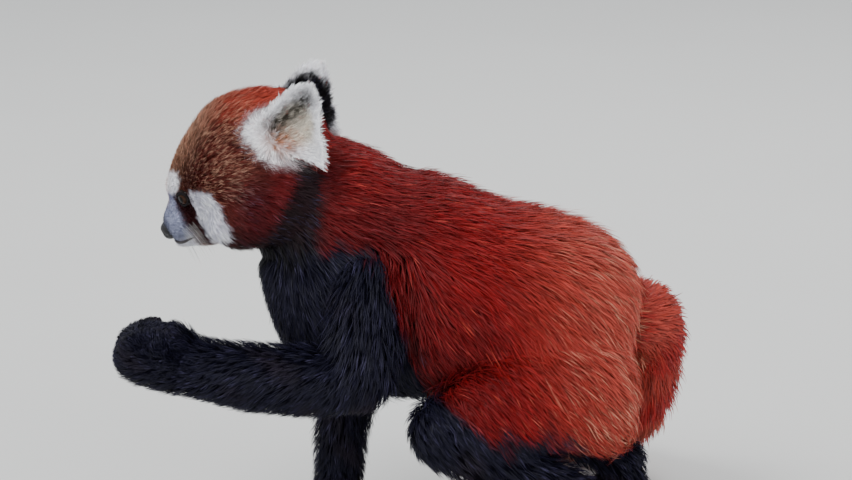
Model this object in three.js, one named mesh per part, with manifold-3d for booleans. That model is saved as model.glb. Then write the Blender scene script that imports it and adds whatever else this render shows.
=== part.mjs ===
// A red panda, life size, standing in a crouch on three feet with its left forepaw lifted.
// Millimetres, +Z up, -Y towards the nose, +X to the animal's left, the floor at z = 0.
// The tables are written about the body's midline, and ORIGIN moves it all at the end.
import * as THREE from "three";
import { ParametricGeometry } from "three/addons/geometries/ParametricGeometry.js";
import { mergeVertices } from "three/addons/utils/BufferGeometryUtils.js";
import Module from "manifold-3d";

const wasm = await Module();
wasm.setup();

// Driving dimensions
const GAP = 0.35; // kept between touching pieces
const HEAD_AT = [-4, -119.7, 292]; // the head's own origin, midway from cheek to cheek
const HEAD_PITCH = 27; // degrees that the nose points down
const HEAD_YAW = 4; // degrees that the nose turns to the right
const EYE_RADIUS = 8.5;
const EYE_AT = [25, 51, 7]; // left, forward and up of the head's origin
const FORELEG_OUT = 44; // from the midline to the standing foreleg
const HIP_OUT = 62; // from the midline to a hind foot
const HEEL_AT = 150; // how far back the left heel stands
const STEP = 36; // the right hind foot stands this far behind the left one
const TOE_RADIUS = 7.2;
const CURLED_TOE_RADIUS = 9.5;
const THUMB_RADIUS = 8;
const TAIL_RINGS = 12;
const TAIL_REST = 37; // height of the tail's middle where it lies on the floor
const ORIGIN = [99.7, 1.8, 0]; // brings the middle of the model's box to x = y = 0

// Colours
const RUST = 0x8f2a14;
const ORANGE = 0xa8501f;
const BUFF = 0xb98a5a;
const BLACK = 0x17131a;
const CREAM = 0xd8d2cc;

const rad = THREE.MathUtils.degToRad;
const forward = new THREE.Vector3(
  -Math.sin(rad(HEAD_YAW)) * Math.cos(rad(HEAD_PITCH)),
  -Math.cos(rad(HEAD_YAW)) * Math.cos(rad(HEAD_PITCH)),
  -Math.sin(rad(HEAD_PITCH)),
);
const left = new THREE.Vector3(0, 0, 1).cross(forward).normalize();
const up = new THREE.Vector3().crossVectors(forward, left);

// A point of the head, given left, forward and up of the head's origin.
function onHead([x, f, u]) {
  const p = new THREE.Vector3(...HEAD_AT);
  p.addScaledVector(left, x).addScaledVector(forward, f).addScaledVector(up, u);
  return [p.x, p.y, p.z];
}

// Catmull-Rom through the values at whole numbers, read at t.
function spline(values, t) {
  const last = values.length - 1;
  const i = Math.max(0, Math.min(Math.floor(t), last - 1));
  const f = t - i;
  const at = (k) => values[Math.max(0, Math.min(last, k))];
  const [a, b, c, d] = [at(i - 1), at(i), at(i + 1), at(i + 2)];
  return b + 0.5 * f * (c - a + f * (2 * a - 5 * b + 4 * c - d + f * (3 * (b - c) + d - a)));
}

// The middle line of a form and the directions across it at t.
function lineOf(stations, across) {
  const columns = [0, 1, 2].map((k) => stations.map((s) => s[0][k]));
  const last = stations.length - 1;
  const centre = (t) => new THREE.Vector3(...columns.map((c) => spline(c, t)));
  const frame = (t) => {
    const ahead = centre(Math.min(last, t + 0.05));
    const along = ahead.sub(centre(Math.max(0, t - 0.05))).normalize();
    const side = new THREE.Vector3(...across);
    side.addScaledVector(along, -side.dot(along)).normalize();
    return { along, side, above: new THREE.Vector3().crossVectors(side, along) };
  };
  return { centre, frame, last };
}

// A trunk, limb or toe. Each station is [middle, half width, reach above, reach below]. The squares of
// the reaches follow a spline, so that an end of no width closes as a round cap. across is the way that
// the half widths lie: [1, 0, 0] on a form that runs back, [-1, 0, 0] on one that runs forward. extra
// makes the whole form that much thicker, to cut room for it out of a neighbour.
function form(stations, across, slices, stacks) {
  return (extra = 0) => {
    const line = lineOf(stations, across);
    const squares = [1, 2, 3].map((k) => stations.map((s) => s[k] ** 2));
    const reach = (k, t) => Math.sqrt(Math.max(0, spline(squares[k], t)));
    const place = (u, v) => {
      const t = (v - (0.75 * Math.sin(2 * Math.PI * v)) / (2 * Math.PI)) * line.last;
      const p = line.centre(t);
      if (v === 0 || v === 1) return p;
      const { side, above } = line.frame(t);
      const angle = 2 * Math.PI * u;
      p.addScaledVector(side, reach(0, t) * Math.cos(angle));
      return p.addScaledVector(above, reach(Math.sin(angle) >= 0 ? 1 : 2, t) * Math.sin(angle));
    };
    const point = (turn, v, target) => {
      const u = turn === 1 ? 0 : turn;
      target.copy(place(u, v));
      if (!extra) return target;
      if (v === 0 || v === 1) {
        const { along } = line.frame(v * line.last);
        return target.addScaledVector(along, v ? extra : -extra);
      }
      const alongU = place(u + 0.004, v).sub(place(u - 0.004, v));
      const alongV = place(u, v + 0.002).sub(place(u, v - 0.002));
      const out = alongV.cross(alongU).normalize();
      return target.addScaledVector(out, extra);
    };
    return solidOf(new ParametricGeometry(point, slices, stacks));
  };
}

// A geometry as a solid: shared corners merged, empty triangles dropped, faces out.
function solidOf(geometry) {
  geometry.deleteAttribute("normal");
  geometry.deleteAttribute("uv");
  const merged = mergeVertices(geometry, 1e-3);
  const index = merged.index.array;
  const faces = [];
  for (let i = 0; i < index.length; i += 3) {
    const [a, b, c] = [index[i], index[i + 1], index[i + 2]];
    if (a !== b && b !== c && c !== a) faces.push([a, b, c]);
  }
  const vertProperties = merged.attributes.position.array;
  const build = (list) =>
    new wasm.Manifold(new wasm.Mesh({ numProp: 3, vertProperties, triVerts: new Uint32Array(list.flat()) }));
  const made = build(faces);
  return made.volume() > 0 ? made : build(faces.map(([a, b, c]) => [a, c, b]));
}

function geometryOf(solid) {
  const mesh = solid.getMesh();
  const made = new THREE.BufferGeometry();
  made.setAttribute("position", new THREE.BufferAttribute(new Float32Array(mesh.vertProperties), 3));
  made.setIndex(new THREE.BufferAttribute(new Uint32Array(mesh.triVerts), 1));
  made.translate(...ORIGIN);
  made.computeVertexNormals();
  return made;
}

const join = (list) => list.slice(1).reduce((sum, next) => sum.add(next), list[0]);
const larger = (a, b) => (b.volume() > a.volume() ? b : a);
const largest = (solid) => solid.decompose().reduce(larger);
const joined = (makers) => (extra = 0) => join(makers.map((make) => make(extra)));
const beyond = (solid, at, normal) => {
  const n = new THREE.Vector3(...normal).normalize();
  return solid.trimByPlane([n.x, n.y, n.z], n.dot(new THREE.Vector3(...at)) + GAP / 2);
};
const ball = (at, radius, slices = 12, stacks = 8) => (extra = 0) =>
  solidOf(new THREE.SphereGeometry(radius + extra, slices, stacks).translate(...at));

const BACK = [1, 0, 0];
const FRONT = [-1, 0, 0];
const RIGHT = [-left.x, -left.y, -left.z];
const headForm = (stations, slices, stacks) =>
  form(stations.map(([at, ...rest]) => [onHead(at), ...rest]), RIGHT, slices, stacks);

// Head
const skull = headForm(
  [
    [[0, -66, 0], 0, 0, 0],
    [[0, -53, 2], 38, 32, 34],
    [[0, -30, 4], 57, 54, 46],
    [[0, 0, 4], 63, 61, 50],
    [[0, 26, 2], 60, 52, 48],
    [[0, 44, 0], 43, 41, 40],
    [[0, 57, -2], 27, 30, 30],
    [[0, 64, -4], 15, 20, 20],
    [[0, 68, -5], 0, 0, 0],
  ],
  24,
  18,
);
const muzzle = headForm(
  [
    [[0, 40, -6], 0, 0, 0],
    [[0, 50, -7], 25, 21, 20],
    [[0, 62, -8], 24, 21, 16],
    [[0, 71, -10], 22, 16, 14],
    [[0, 78, -12], 17, 12, 11],
    [[0, 83, -13], 10, 8, 8],
    [[0, 85, -13], 0, 0, 0],
  ],
  16,
  10,
);
const cheek = (sign) =>
  headForm(
    [
      [[sign * 30, -46, -20], 0, 0, 0],
      [[sign * 37, -26, -20], 24, 24, 28],
      [[sign * 39, 2, -21], 29, 28, 35],
      [[sign * 35, 28, -21], 25, 22, 30],
      [[sign * 26, 50, -20], 0, 0, 0],
    ],
    14,
    9,
  );
// A lid is a ring round the eye, thick above it and turned as the eye looks
function lid(sign) {
  return (extra = 0) => {
    const ring = new THREE.TorusGeometry(EYE_RADIUS - 1.5, 2.2 + extra, 5, 12);
    const look = new THREE.Vector3().addScaledVector(left, sign * 0.66).addScaledVector(forward, 0.75);
    const turn = new THREE.Quaternion().setFromUnitVectors(new THREE.Vector3(0, 0, 1), look.normalize());
    const at = onHead([sign * (EYE_AT[0] + 2.7), EYE_AT[1] + 3, EYE_AT[2]]);
    ring.applyQuaternion(turn).translate(...at);
    return solidOf(ring);
  };
}
const head = joined([skull, muzzle, cheek(1), cheek(-1), lid(1), lid(-1)]);
const jaw = headForm(
  [
    [[0, 36, -28], 0, 0, 0],
    [[0, 50, -28], 22, 9, 14],
    [[0, 66, -26], 16, 7, 11],
    [[0, 79, -24], 10, 5, 8],
    [[0, 84, -23], 0, 0, 0],
  ],
  12,
  7,
);
const noseForm = headForm(
  [
    [[0, 71, -12], 0, 0, 0],
    [[0, 76, -12], 9, 7, 7],
    [[0, 82, -12.5], 10, 7, 8],
    [[0, 87, -13], 0, 0, 0],
  ],
  12,
  6,
);
const nostril = (sign) => ball(onHead([sign * 5.6, 86.5, -12.5]), 2.4, 6, 4);
const nose = (extra = 0) => {
  if (extra) return noseForm(extra);
  return noseForm(0).subtract(nostril(1)(0)).subtract(nostril(-1)(0));
};
const eye = (sign) => ball(onHead([sign * EYE_AT[0], EYE_AT[1], EYE_AT[2]]), EYE_RADIUS);

// An ear is a cup. Its outline, seen from the way it opens, runs from the front corner over the tip to
// the hanging rear lobe and back along the base: [back, up] from the ear's foot.
const EAR_OUTLINE = [
  [-35, 0],
  [-30, 28],
  [-23, 50],
  [-10, 60],
  [3, 52],
  [14, 36],
  [28, 17],
  [40, 0],
  [22, 1],
  [-8, -5],
];
const EAR_MIDDLE = [-5, 21];
const EAR_DEPTH = 14;
const EAR_WALL = 2.5;

function ear(sign) {
  const foot = new THREE.Vector3(...onHead([sign * 56, -37, 8]));
  const out = new THREE.Vector3().addScaledVector(left, sign * 0.985).addScaledVector(up, 0.17).normalize();
  const rise = new THREE.Vector3().addScaledVector(left, sign * -0.1);
  rise.addScaledVector(forward, -0.82).addScaledVector(up, 0.56);
  rise.addScaledVector(out, -rise.dot(out)).normalize();
  const back = new THREE.Vector3().crossVectors(rise, out).multiplyScalar(sign);
  const count = EAR_OUTLINE.length;
  const closed = [0, 1].map((k) => [...EAR_OUTLINE, ...EAR_OUTLINE, ...EAR_OUTLINE].map((p) => p[k]));
  return (extra = 0) => {
    const point = (u, v, target) => {
      const inner = v > 0.5;
      const r = inner ? 2 * (1 - v) : 2 * v;
      const t = count + count * (u === 1 ? 0 : u);
      const grown = r * (1 + extra / 30);
      const [across, high] = EAR_MIDDLE.map((m, k) => m + grown * (spline(closed[k], t) - m));
      const wall = v === 0.5 ? 0 : EAR_WALL + 3 * (1 - r) + extra;
      const sunk = (1 - r * r) * -EAR_DEPTH + (inner ? wall : -wall);
      target.copy(foot).addScaledVector(back, across);
      return target.addScaledVector(rise, high).addScaledVector(out, sunk);
    };
    return solidOf(new ParametricGeometry(point, 18, 8));
  };
}

// Trunk
const neck = form(
  [
    [[-3, -150, 268], 0, 0, 0],
    [[-2, -120, 270], 44, 46, 44],
    [[-1, -84, 262], 58, 70, 58],
    [[0, -48, 240], 64, 73, 70],
    [[0, -8, 216], 56, 68, 60],
    [[0, 24, 200], 0, 0, 0],
  ],
  BACK,
  20,
  12,
);
const torso = form(
  [
    [[0, -117, 190], 0, 0, 0],
    [[0, -101, 194], 42, 52, 60],
    [[0, -60, 203], 62, 86, 87],
    [[0, -9, 200], 74, 100, 93],
    [[0, 44, 188], 80, 90, 84],
    [[0, 95, 178], 82, 88, 80],
    [[0, 130, 170], 78, 82, 76],
    [[0, 158, 164], 60, 60, 62],
    [[0, 178, 160], 0, 0, 0],
  ],
  BACK,
  24,
  20,
);

// Forelegs: the left one is lifted and reaches forward, the right one stands.
const liftedUpper = form(
  [
    [[36, -24, 240], 0, 0, 0],
    [[50, -28, 222], 30, 34, 32],
    [[62, -32, 186], 33, 38, 36],
    [[68, -36, 152], 32, 34, 34],
    [[69, -39, 128], 25, 26, 26],
    [[69, -41, 110], 0, 0, 0],
  ],
  BACK,
  14,
  11,
);
const liftedFore = form(
  [
    [[68, -14, 140], 0, 0, 0],
    [[68, -34, 140], 25, 26, 26],
    [[69, -60, 140], 30, 31, 31],
    [[69, -90, 141], 30, 31, 31],
    [[68, -124, 143], 28, 30, 30],
    [[66, -158, 149], 25, 27, 27],
    [[64, -184, 156], 25, 26, 28],
    [[63, -202, 162], 0, 0, 0],
  ],
  FRONT,
  14,
  12,
);
const standing = form(
  [
    [[-32, -42, 232], 0, 0, 0],
    [[-42, -44, 210], 28, 38, 34],
    [[-48, -44, 164], 31, 40, 36],
    [[-47, -48, 118], 28, 32, 30],
    [[-FORELEG_OUT, -53, 78], 23, 26, 26],
    [[-FORELEG_OUT, -55, 46], 20, 23, 23],
    [[-FORELEG_OUT, -57, 18], 19, 21, 21],
    [[-FORELEG_OUT, -58, 4], 0, 0, 0],
  ],
  BACK,
  14,
  16,
);

// A toe with its claw. points are the middles from root to claw base, then the claw's bend and tip.
function toe(points, radius, across = FRONT) {
  const [a, b, c, bend, tip] = points;
  const pad = [[a, 0, 0, 0], [b, radius, radius, radius], [c, radius * 0.85, radius * 0.8, radius * 0.8]];
  const end = c.map((value, k) => value + (c[k] - b[k]) * 0.45);
  const claw = [[b, 0, 0, 0], [c, 2.4, 3, 3], [bend, 1.7, 2.2, 2.2], [tip, 0, 0, 0]];
  return joined([form([...pad, [end, 0, 0, 0]], across, 6, 4), form(claw, across, 4, 3)]);
}
// The five toes of a standing foot, spread like a fan, on a sole whose front is at [x, y]
function toes(x, y, side, spread) {
  return [-2, -1, 0, 1, 2].map((k) => {
    const lane = x + k * spread;
    const reach = y + Math.abs(k - 0.4 * side) ** 2 * 2.4;
    const flare = k * 2.2;
    const middle = (dy, z, share) => [lane + flare * share, reach + dy, z];
    const digit = [middle(24, 12, 0), middle(6, 9, 0.5), middle(-5, 7, 0.8)];
    return toe([...digit, middle(-12, 7.5, 1), middle(-18, 3, 1.2)], TOE_RADIUS);
  });
}
const rightPaw = joined([
  form(
    [
      [[-FORELEG_OUT, -32, 18], 0, 0, 0],
      [[-FORELEG_OUT, -42, 16], 19, 16, 20],
      [[-FORELEG_OUT, -60, 14], 22, 15, 17],
      [[-FORELEG_OUT, -76, 11], 22, 11, 14],
      [[-FORELEG_OUT, -86, 9], 0, 0, 0],
    ],
    FRONT,
    14,
    8,
  ),
  ...toes(-FORELEG_OUT, -84, -1, 9),
]);
// The lifted paw is turned palm up, with the toes curled up and back over the palm.
const fist = joined([
  form(
    [
      [[66, -160, 150], 0, 0, 0],
      [[65, -174, 153], 25, 31, 27],
      [[64, -196, 156], 28, 31, 26],
      [[63, -216, 158], 26, 20, 20],
      [[63, -230, 160], 0, 0, 0],
    ],
    FRONT,
    14,
    9,
  ),
  ...[-2, -1, 0, 1].map((k) => {
    const x = 66 + k * 12;
    const late = Math.abs(k + 0.5) * 2;
    const digit = [[x, -206, 154], [x, -218 + late, 168], [x, -194 + late, 185]];
    return toe([...digit, [x, -184, 178], [x, -182, 169]], CURLED_TOE_RADIUS);
  }),
  toe([[82, -172, 158], [89, -190, 166], [87, -192, 179], [80, -186, 185], [74, -180, 179]], THUMB_RADIUS),
]);

// Hind legs
const thigh = (sign, stations) =>
  form(stations.map(([x, y, z, ...reach]) => [[sign * x, y, z], ...reach]), FRONT, 16, 11);
const leftThigh = thigh(1, [
  [48, 186, 140, 0, 0, 0],
  [52, 152, 135, 38, 46, 62],
  [58, 112, 126, 40, 60, 52],
  [62, 72, 114, 40, 54, 44],
  [66, 38, 102, 35, 44, 38],
  [67, 12, 93, 24, 29, 28],
  [67, -2, 88, 0, 0, 0],
]);
const rightThigh = thigh(-1, [
  [48, 184, 142, 0, 0, 0],
  [52, 158, 138, 38, 42, 58],
  [56, 128, 129, 39, 54, 50],
  [60, 100, 116, 36, 46, 40],
  [62, 74, 104, 28, 34, 32],
  [62, 58, 96, 0, 0, 0],
]);
// A shank runs back and down from the knee to the heel
const shank = (sign, knee, drop, length) => {
  const out = (share) => sign * (HIP_OUT + 5 * (1 - share));
  const at = (share, lift) => [out(share), knee[0] + share * length, knee[1] - share * drop + lift];
  return form(
    [
      [at(-0.02, 0), 0, 0, 0],
      [at(0.15, 4), 27, 29, 30],
      [at(0.42, 3), 26, 29, 29],
      [at(0.7, 1), 22, 25, 25],
      [at(0.9, -1), 19, 22, 24],
      [at(1.03, -2), 0, 0, 0],
    ],
    BACK,
    14,
    10,
  );
};
// A hind foot rests on its whole sole from the heel forward
const foot = (sign, heel) =>
  joined([
    form(
      [
        [[sign * HIP_OUT, heel + 8, 20], 0, 0, 0],
        [[sign * HIP_OUT, heel - 5, 21], 17, 19, 24],
        [[sign * HIP_OUT, heel - 38, 17], 19, 16, 20],
        [[sign * HIP_OUT, heel - 72, 13], 22, 13, 16],
        [[sign * HIP_OUT, heel - 92, 10], 22, 10, 13],
        [[sign * HIP_OUT, heel - 103, 9], 0, 0, 0],
      ],
      FRONT,
      14,
      10,
    ),
    ...toes(sign * HIP_OUT, heel - 101, sign, 9),
  ]);

// The tail leaves high, arcs down and curls on the floor to the right.
const tailStations = [
  [[-4, 150, 163], 0, 0, 0],
  [[-24, 170, 168], 26, 26, 26],
  [[-62, 186, 160], 37, 37, 37],
  [[-112, 186, 116], 40, 40, 40],
  [[-160, 176, 66], 40, 40, 40],
  [[-206, 156, TAIL_REST + 3], 40, 40, 40],
  [[-246, 124, TAIL_REST], 39, 39, 39],
  [[-268, 86, TAIL_REST - 1], 34, 34, 36],
  [[-274, 58, TAIL_REST - 3], 0, 0, 0],
];
const WEST = [0.4, 0, 0.92];
const tail = form(tailStations, WEST, 14, 34);

// Where two pieces meet, the one named first keeps its shape and the later one makes room for it.
const pieces = [
  ["eye_left", eye(1), BLACK, 0.08],
  ["eye_right", eye(-1), BLACK, 0.08],
  ["nose", nose, BLACK, 0.35],
  ["jaw", jaw, CREAM, 0.9],
  ["head", head, ORANGE, 0.9],
  ["ear_left", ear(1), CREAM, 0.9],
  ["ear_right", ear(-1), CREAM, 0.9],
  ["neck", neck, RUST, 0.9],
  ["upper_arm_left", liftedUpper, BLACK, 0.9],
  ["forearm_left", liftedFore, BLACK, 0.9],
  ["foreleg_right", standing, BLACK, 0.9],
  ["thigh_left", leftThigh, RUST, 0.9],
  ["thigh_right", rightThigh, RUST, 0.9],
  ["torso", torso, RUST, 0.9],
  ["shank_left", shank(1, [18, 92], 52, 132), BLACK, 0.9],
  ["shank_right", shank(-1, [70, 94], 58, 118), BLACK, 0.9],
  ["paw_left", fist, BLACK, 0.9],
  ["paw_right", rightPaw, BLACK, 0.9],
  ["foot_left", foot(1, HEEL_AT), BLACK, 0.9],
  ["foot_right", foot(-1, HEEL_AT + STEP), BLACK, 0.9],
  ["tail", tail, RUST, 0.9],
];

// Cuts across a limb or the tail: [whole, [names of the lengths], [points and directions of the cuts]]
const tailLine = lineOf(tailStations, WEST);
const tailCuts = Array.from({ length: TAIL_RINGS - 1 }, (_, k) => {
  const t = 1.8 + (k * (tailLine.last - 2.5)) / (TAIL_RINGS - 2);
  const { along } = tailLine.frame(t);
  return [tailLine.centre(t).toArray(), along.toArray()];
});
const lengths = {
  foreleg_right: [["upper_arm_right", "forearm_right"], [[[-48, -46, 122], [0, 0, -1]]]],
  tail: [Array.from({ length: TAIL_RINGS }, (_, k) => `tail_${String(k + 1).padStart(2, "0")}`), tailCuts],
};

const group = new THREE.Group();
function place(name, solid, color, roughness) {
  const material = new THREE.MeshStandardMaterial({ color, roughness, metalness: 0 });
  const mesh = new THREE.Mesh(geometryOf(largest(solid)), material);
  mesh.name = name;
  group.add(mesh);
}

let taken = null;
for (const [name, make, color, roughness] of pieces) {
  let solid = make(0).trimByPlane([0, 0, 1], 0);
  if (taken) solid = solid.subtract(taken);
  taken = taken ? taken.add(make(GAP)) : make(GAP);
  if (!lengths[name]) {
    place(name, solid, color, roughness);
    continue;
  }
  const [names, cuts] = lengths[name];
  names.forEach((part, k) => {
    let length = solid;
    if (k > 0) length = beyond(length, ...cuts[k - 1]);
    if (k < cuts.length) length = beyond(length, cuts[k][0], cuts[k][1].map((v) => -v));
    place(part, length, name === "tail" && k % 2 ? BUFF : color, roughness);
  });
}
export default group;
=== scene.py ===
"""A life-size red panda: its skin, coat, eyes, nose, claws and whiskers over the fixed frame."""

import math

import bmesh
import bpy
import numpy as np
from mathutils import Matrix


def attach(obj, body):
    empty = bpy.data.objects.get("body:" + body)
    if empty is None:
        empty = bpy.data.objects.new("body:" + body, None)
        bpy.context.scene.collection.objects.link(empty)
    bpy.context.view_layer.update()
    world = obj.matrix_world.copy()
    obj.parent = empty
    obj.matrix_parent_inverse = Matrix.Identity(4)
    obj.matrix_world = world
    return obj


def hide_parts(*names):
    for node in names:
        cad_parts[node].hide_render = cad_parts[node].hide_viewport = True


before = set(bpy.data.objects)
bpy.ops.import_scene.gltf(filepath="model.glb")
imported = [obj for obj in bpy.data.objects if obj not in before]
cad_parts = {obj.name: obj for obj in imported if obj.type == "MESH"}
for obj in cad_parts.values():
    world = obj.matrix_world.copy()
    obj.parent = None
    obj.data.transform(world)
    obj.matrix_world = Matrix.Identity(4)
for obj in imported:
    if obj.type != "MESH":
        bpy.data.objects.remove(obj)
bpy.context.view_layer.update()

bl_info = {
    "name": "Red panda",
    "version": (1, 0, 0),
    "blender": (4, 5, 0),
    "location": "View3D > Sidebar > Red panda",
    "description": "Builds the skin, coat and details of a life-size red panda",
    "category": "Object",
}

MM = 0.001
ORIGIN = np.array([99.7, 1.8, 0.0])  # the midline tables are moved by this, as the solids are
SEED = 7
SAMPLE_REACH = 6.0  # a form's sample further than this from the melted skin lies inside the body

# Named sizes of the head, in millimetres and degrees
HEAD_AT = np.array([-4.0, -119.7, 292.0])
HEAD_PITCH = 27.0
HEAD_YAW = 4.0
EYE_RADIUS = 8.5
EYE_AT = (25.0, 51.0, 7.0)

# Named sizes of the body, in millimetres
FORELEG_OUT = 44.0  # from the midline to the standing foreleg
HIP_OUT = 62.0  # from the midline to a hind foot
HEEL_AT = 150.0  # how far back the left heel stands
TOES_FROM_HEEL = 101.0
STEP = 36.0  # the right hind foot stands this far behind the left one
TOE_SPREAD = 9.0
TOE_RADIUS = 7.2
CURLED_TOE_RADIUS = 9.5
THUMB_RADIUS = 8.0
TAIL_RINGS = 12
TAIL_REST = 37.0  # height of the tail's middle where it lies on the floor

# The coat, in millimetres
TUFT_LIMIT = 13200  # the most tufts of one piece
TUFT_HAIRS = 3
LEAST_DEPTH = 1.5  # a coat counts as at least this deep when tufts are shared out
CROWDING = 0.9  # tufts stand closer where the coat is short, by this power of its depth
LIE_SCATTER = 0.13  # how far tufts stray from the coat's lie
HAIR_SCATTER = 0.07  # how far a tuft's hairs stray from each other
LENGTH_SHARE = (1.5, 2.1)  # a tuft's length against the coat's depth
HAIR_SHARE = (0.8, 1.12)  # a hair's length against its tuft's
SHORTEST = 2.2
RISE_LIMITS = (0.25, 0.8)
RISE_SHARE = (0.64, 0.86)
ROOT_DEPTH = 0.8  # hairs start this far below the skin
TIP_PULL = 0.55  # how far a tuft's hairs draw together at their tips
ROLL_SCATTER = 0.45
HAIR_FLOOR_GAP = 0.5  # no hair comes nearer to the floor
MAP_CELLS = 7  # the coat's map has this many cells to a side
CELL_SPAN = (0.06, 0.94)  # the used part of a cell
TUFT_PATCH = 0.003  # a tuft's patch on the map
HAIR_STOPS = np.array([0.0, 0.38, 0.74, 1.0])  # shares of a hair's length at its cross lines
HAIR_TAPER = np.array([0.85, 1.0, 0.62])  # its width there, up to the pointed tip


def unit(v):
    """Each row divided by its own length."""
    v = np.asarray(v, float)
    return v / np.maximum(np.linalg.norm(v, axis=-1, keepdims=True), 1e-9)


def head_axes():
    """Forward, left and up of the head, from its pitch and yaw."""
    p, w = math.radians(HEAD_PITCH), math.radians(HEAD_YAW)
    ahead = np.array([-math.sin(w) * math.cos(p), -math.cos(w) * math.cos(p), -math.sin(p)])
    left = unit(np.cross([0, 0, 1], ahead))
    return left, ahead, np.cross(ahead, left)


LEFT, AHEAD, UP = head_axes()
HEAD_AXES = np.array([LEFT, AHEAD, UP])


def on_head(x, f, u):
    """A point given left, forward and up of the head's origin."""
    return HEAD_AT + x * LEFT + f * AHEAD + u * UP


def eye_at(sign):
    """The middle of an eye: the left one's for 1, the right one's for -1."""
    return on_head(sign * EYE_AT[0], *EYE_AT[1:])


def look_of(sign):
    """The way that an eye looks: forward, outward and a little up."""
    return unit(sign * 0.66 * LEFT + 0.75 * AHEAD + 0.05 * UP)


def head_rows(rows):
    """Stations written in the head's own directions, moved to the body's."""
    return [(*on_head(*row[:3]), *row[3:]) for row in rows]


def smooth(low, high, x):
    """0 below low, 1 above high, and 3t^2 - 2t^3 between."""
    t = np.clip((x - low) / (high - low), 0, 1)
    return t * t * (3 - 2 * t)


def wobble(p, size, seed):
    """A smooth random value of about -1 to 1: the mean of six sine waves in random directions."""
    rng = np.random.default_rng(seed)
    ways = unit(rng.normal(size=(6, 3))) * (2 * math.pi / size) * rng.uniform(0.6, 1.5, (6, 1))
    return np.sin(p @ ways.T + rng.uniform(0, 6.28, 6)).mean(1) * 1.7


def srgb(r, g, b):
    """A display colour of 0 to 255 as linear light."""
    c = np.array([r, g, b], float) / 255
    return np.where(c <= 0.04045, c / 12.92, ((c + 0.055) / 1.055) ** 2.4)


def spline(values, t):
    """The Catmull-Rom cubic through neighbouring rows of values, read at t."""
    last = len(values) - 1
    i = np.clip(np.floor(t).astype(int), 0, last - 1)
    f = (t - i)[:, None]
    a, b, c, d = (values[np.clip(i + k, 0, last)] for k in (-1, 0, 1, 2))
    return b + 0.5 * f * (c - a + f * (2 * a - 5 * b + 4 * c - d + f * (3 * (b - c) + d - a)))


def loft(rows, across, rings=48, sides=40, sunk=1.0):
    """A trunk or limb on a grid of turn and length. Rows hold the middle, the half width, the reaches above
    and below and the coat's depth. A ring is an ellipse across the path whose reaches are the roots of a
    spline through their squares, less the coat's depth times sunk. Rings crowd towards the two ends."""
    table = np.array(rows, float)
    for end, inner in ((0, 1), (-1, -2)):
        table[end, :3] += unit(table[inner, :3] - table[end, :3]) * table[end, 6] * sunk
    last = len(table) - 1
    v = np.linspace(0, 1, rings)
    t = (v - 0.75 * np.sin(2 * np.pi * v) / (2 * np.pi)) * last
    middle = spline(table[:, :3], t)
    reach = np.sqrt(np.maximum(spline(table[:, 3:6] ** 2, t), 0))
    coat = np.maximum(spline(table[:, 6:7], t), 0.3)
    reach = np.maximum(reach - coat * sunk, 0)
    ahead = spline(table[:, :3], np.minimum(t + 0.05, last))
    along = unit(ahead - spline(table[:, :3], np.maximum(t - 0.05, 0)))
    side = np.asarray(across, float) - along * (along @ np.asarray(across, float))[:, None]
    side = unit(side)
    above = np.cross(side, along)
    turn = np.linspace(0, 2 * np.pi, sides, endpoint=False)
    tall = np.where(np.sin(turn) >= 0, reach[:, 1:2], reach[:, 2:3])
    points = middle[:, None] + side[:, None] * (reach[:, :1] * np.cos(turn))[..., None]
    points = points + above[:, None] * (tall * np.sin(turn))[..., None]
    return points, along, t, coat[:, 0]


def tube(path, side, over, radius, sides):
    """Rings round a path: at each point an ellipse of the given radius along side and over."""
    roll = np.linspace(0, 2 * np.pi, sides, endpoint=False)[None, :, None]
    side, over = (np.broadcast_to(way, path.shape)[:, None] for way in (side, over))
    return path[:, None] + np.reshape(radius, (-1, 1, 1)) * (np.cos(roll) * side + np.sin(roll) * over)


def ring_quads(rings, sides):
    """Quads between each ring and the next, facing out."""
    i = np.arange(rings - 1)[:, None] * sides
    j = np.arange(sides)[None]
    k = (j + 1) % sides
    return np.stack([i + j, i + sides + j, i + sides + k, i + k], -1).reshape(-1, 4)


def new_mesh(name, points, faces, tidy=True):
    """A mesh object from arrays, in metres and in the frame's place. tidy merges the points of each pole."""
    mesh = bpy.data.meshes.new(name)
    faces = np.asarray(faces, np.int32)
    corners = faces.shape[1]
    mesh.vertices.add(len(points))
    mesh.vertices.foreach_set("co", ((points + ORIGIN) * MM).astype(np.float32).ravel())
    mesh.loops.add(faces.size)
    mesh.loops.foreach_set("vertex_index", faces.ravel())
    mesh.polygons.add(len(faces))
    mesh.polygons.foreach_set("loop_start", np.arange(0, faces.size, corners, dtype=np.int32))
    mesh.update(calc_edges=True)
    if tidy:
        bm = bmesh.new()
        bm.from_mesh(mesh)
        bmesh.ops.remove_doubles(bm, verts=bm.verts, dist=2e-6)
        bmesh.ops.recalc_face_normals(bm, faces=bm.faces)
        bm.to_mesh(mesh)
        bm.free()
    mesh.polygons.foreach_set("use_smooth", np.ones(len(mesh.polygons), bool))
    made = bpy.data.objects.new(name, mesh)
    bpy.context.scene.collection.objects.link(made)
    return made


def join_grids(grids):
    """Points and quads of several ring grids as one list of each."""
    points, quads, start = [], [], 0
    for g in grids:
        rings, sides = g.shape[:2]
        points.append(g.reshape(-1, 3))
        quads.append(ring_quads(rings, sides) + start)
        start += rings * sides
    return np.concatenate(points), np.concatenate(quads)


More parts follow.
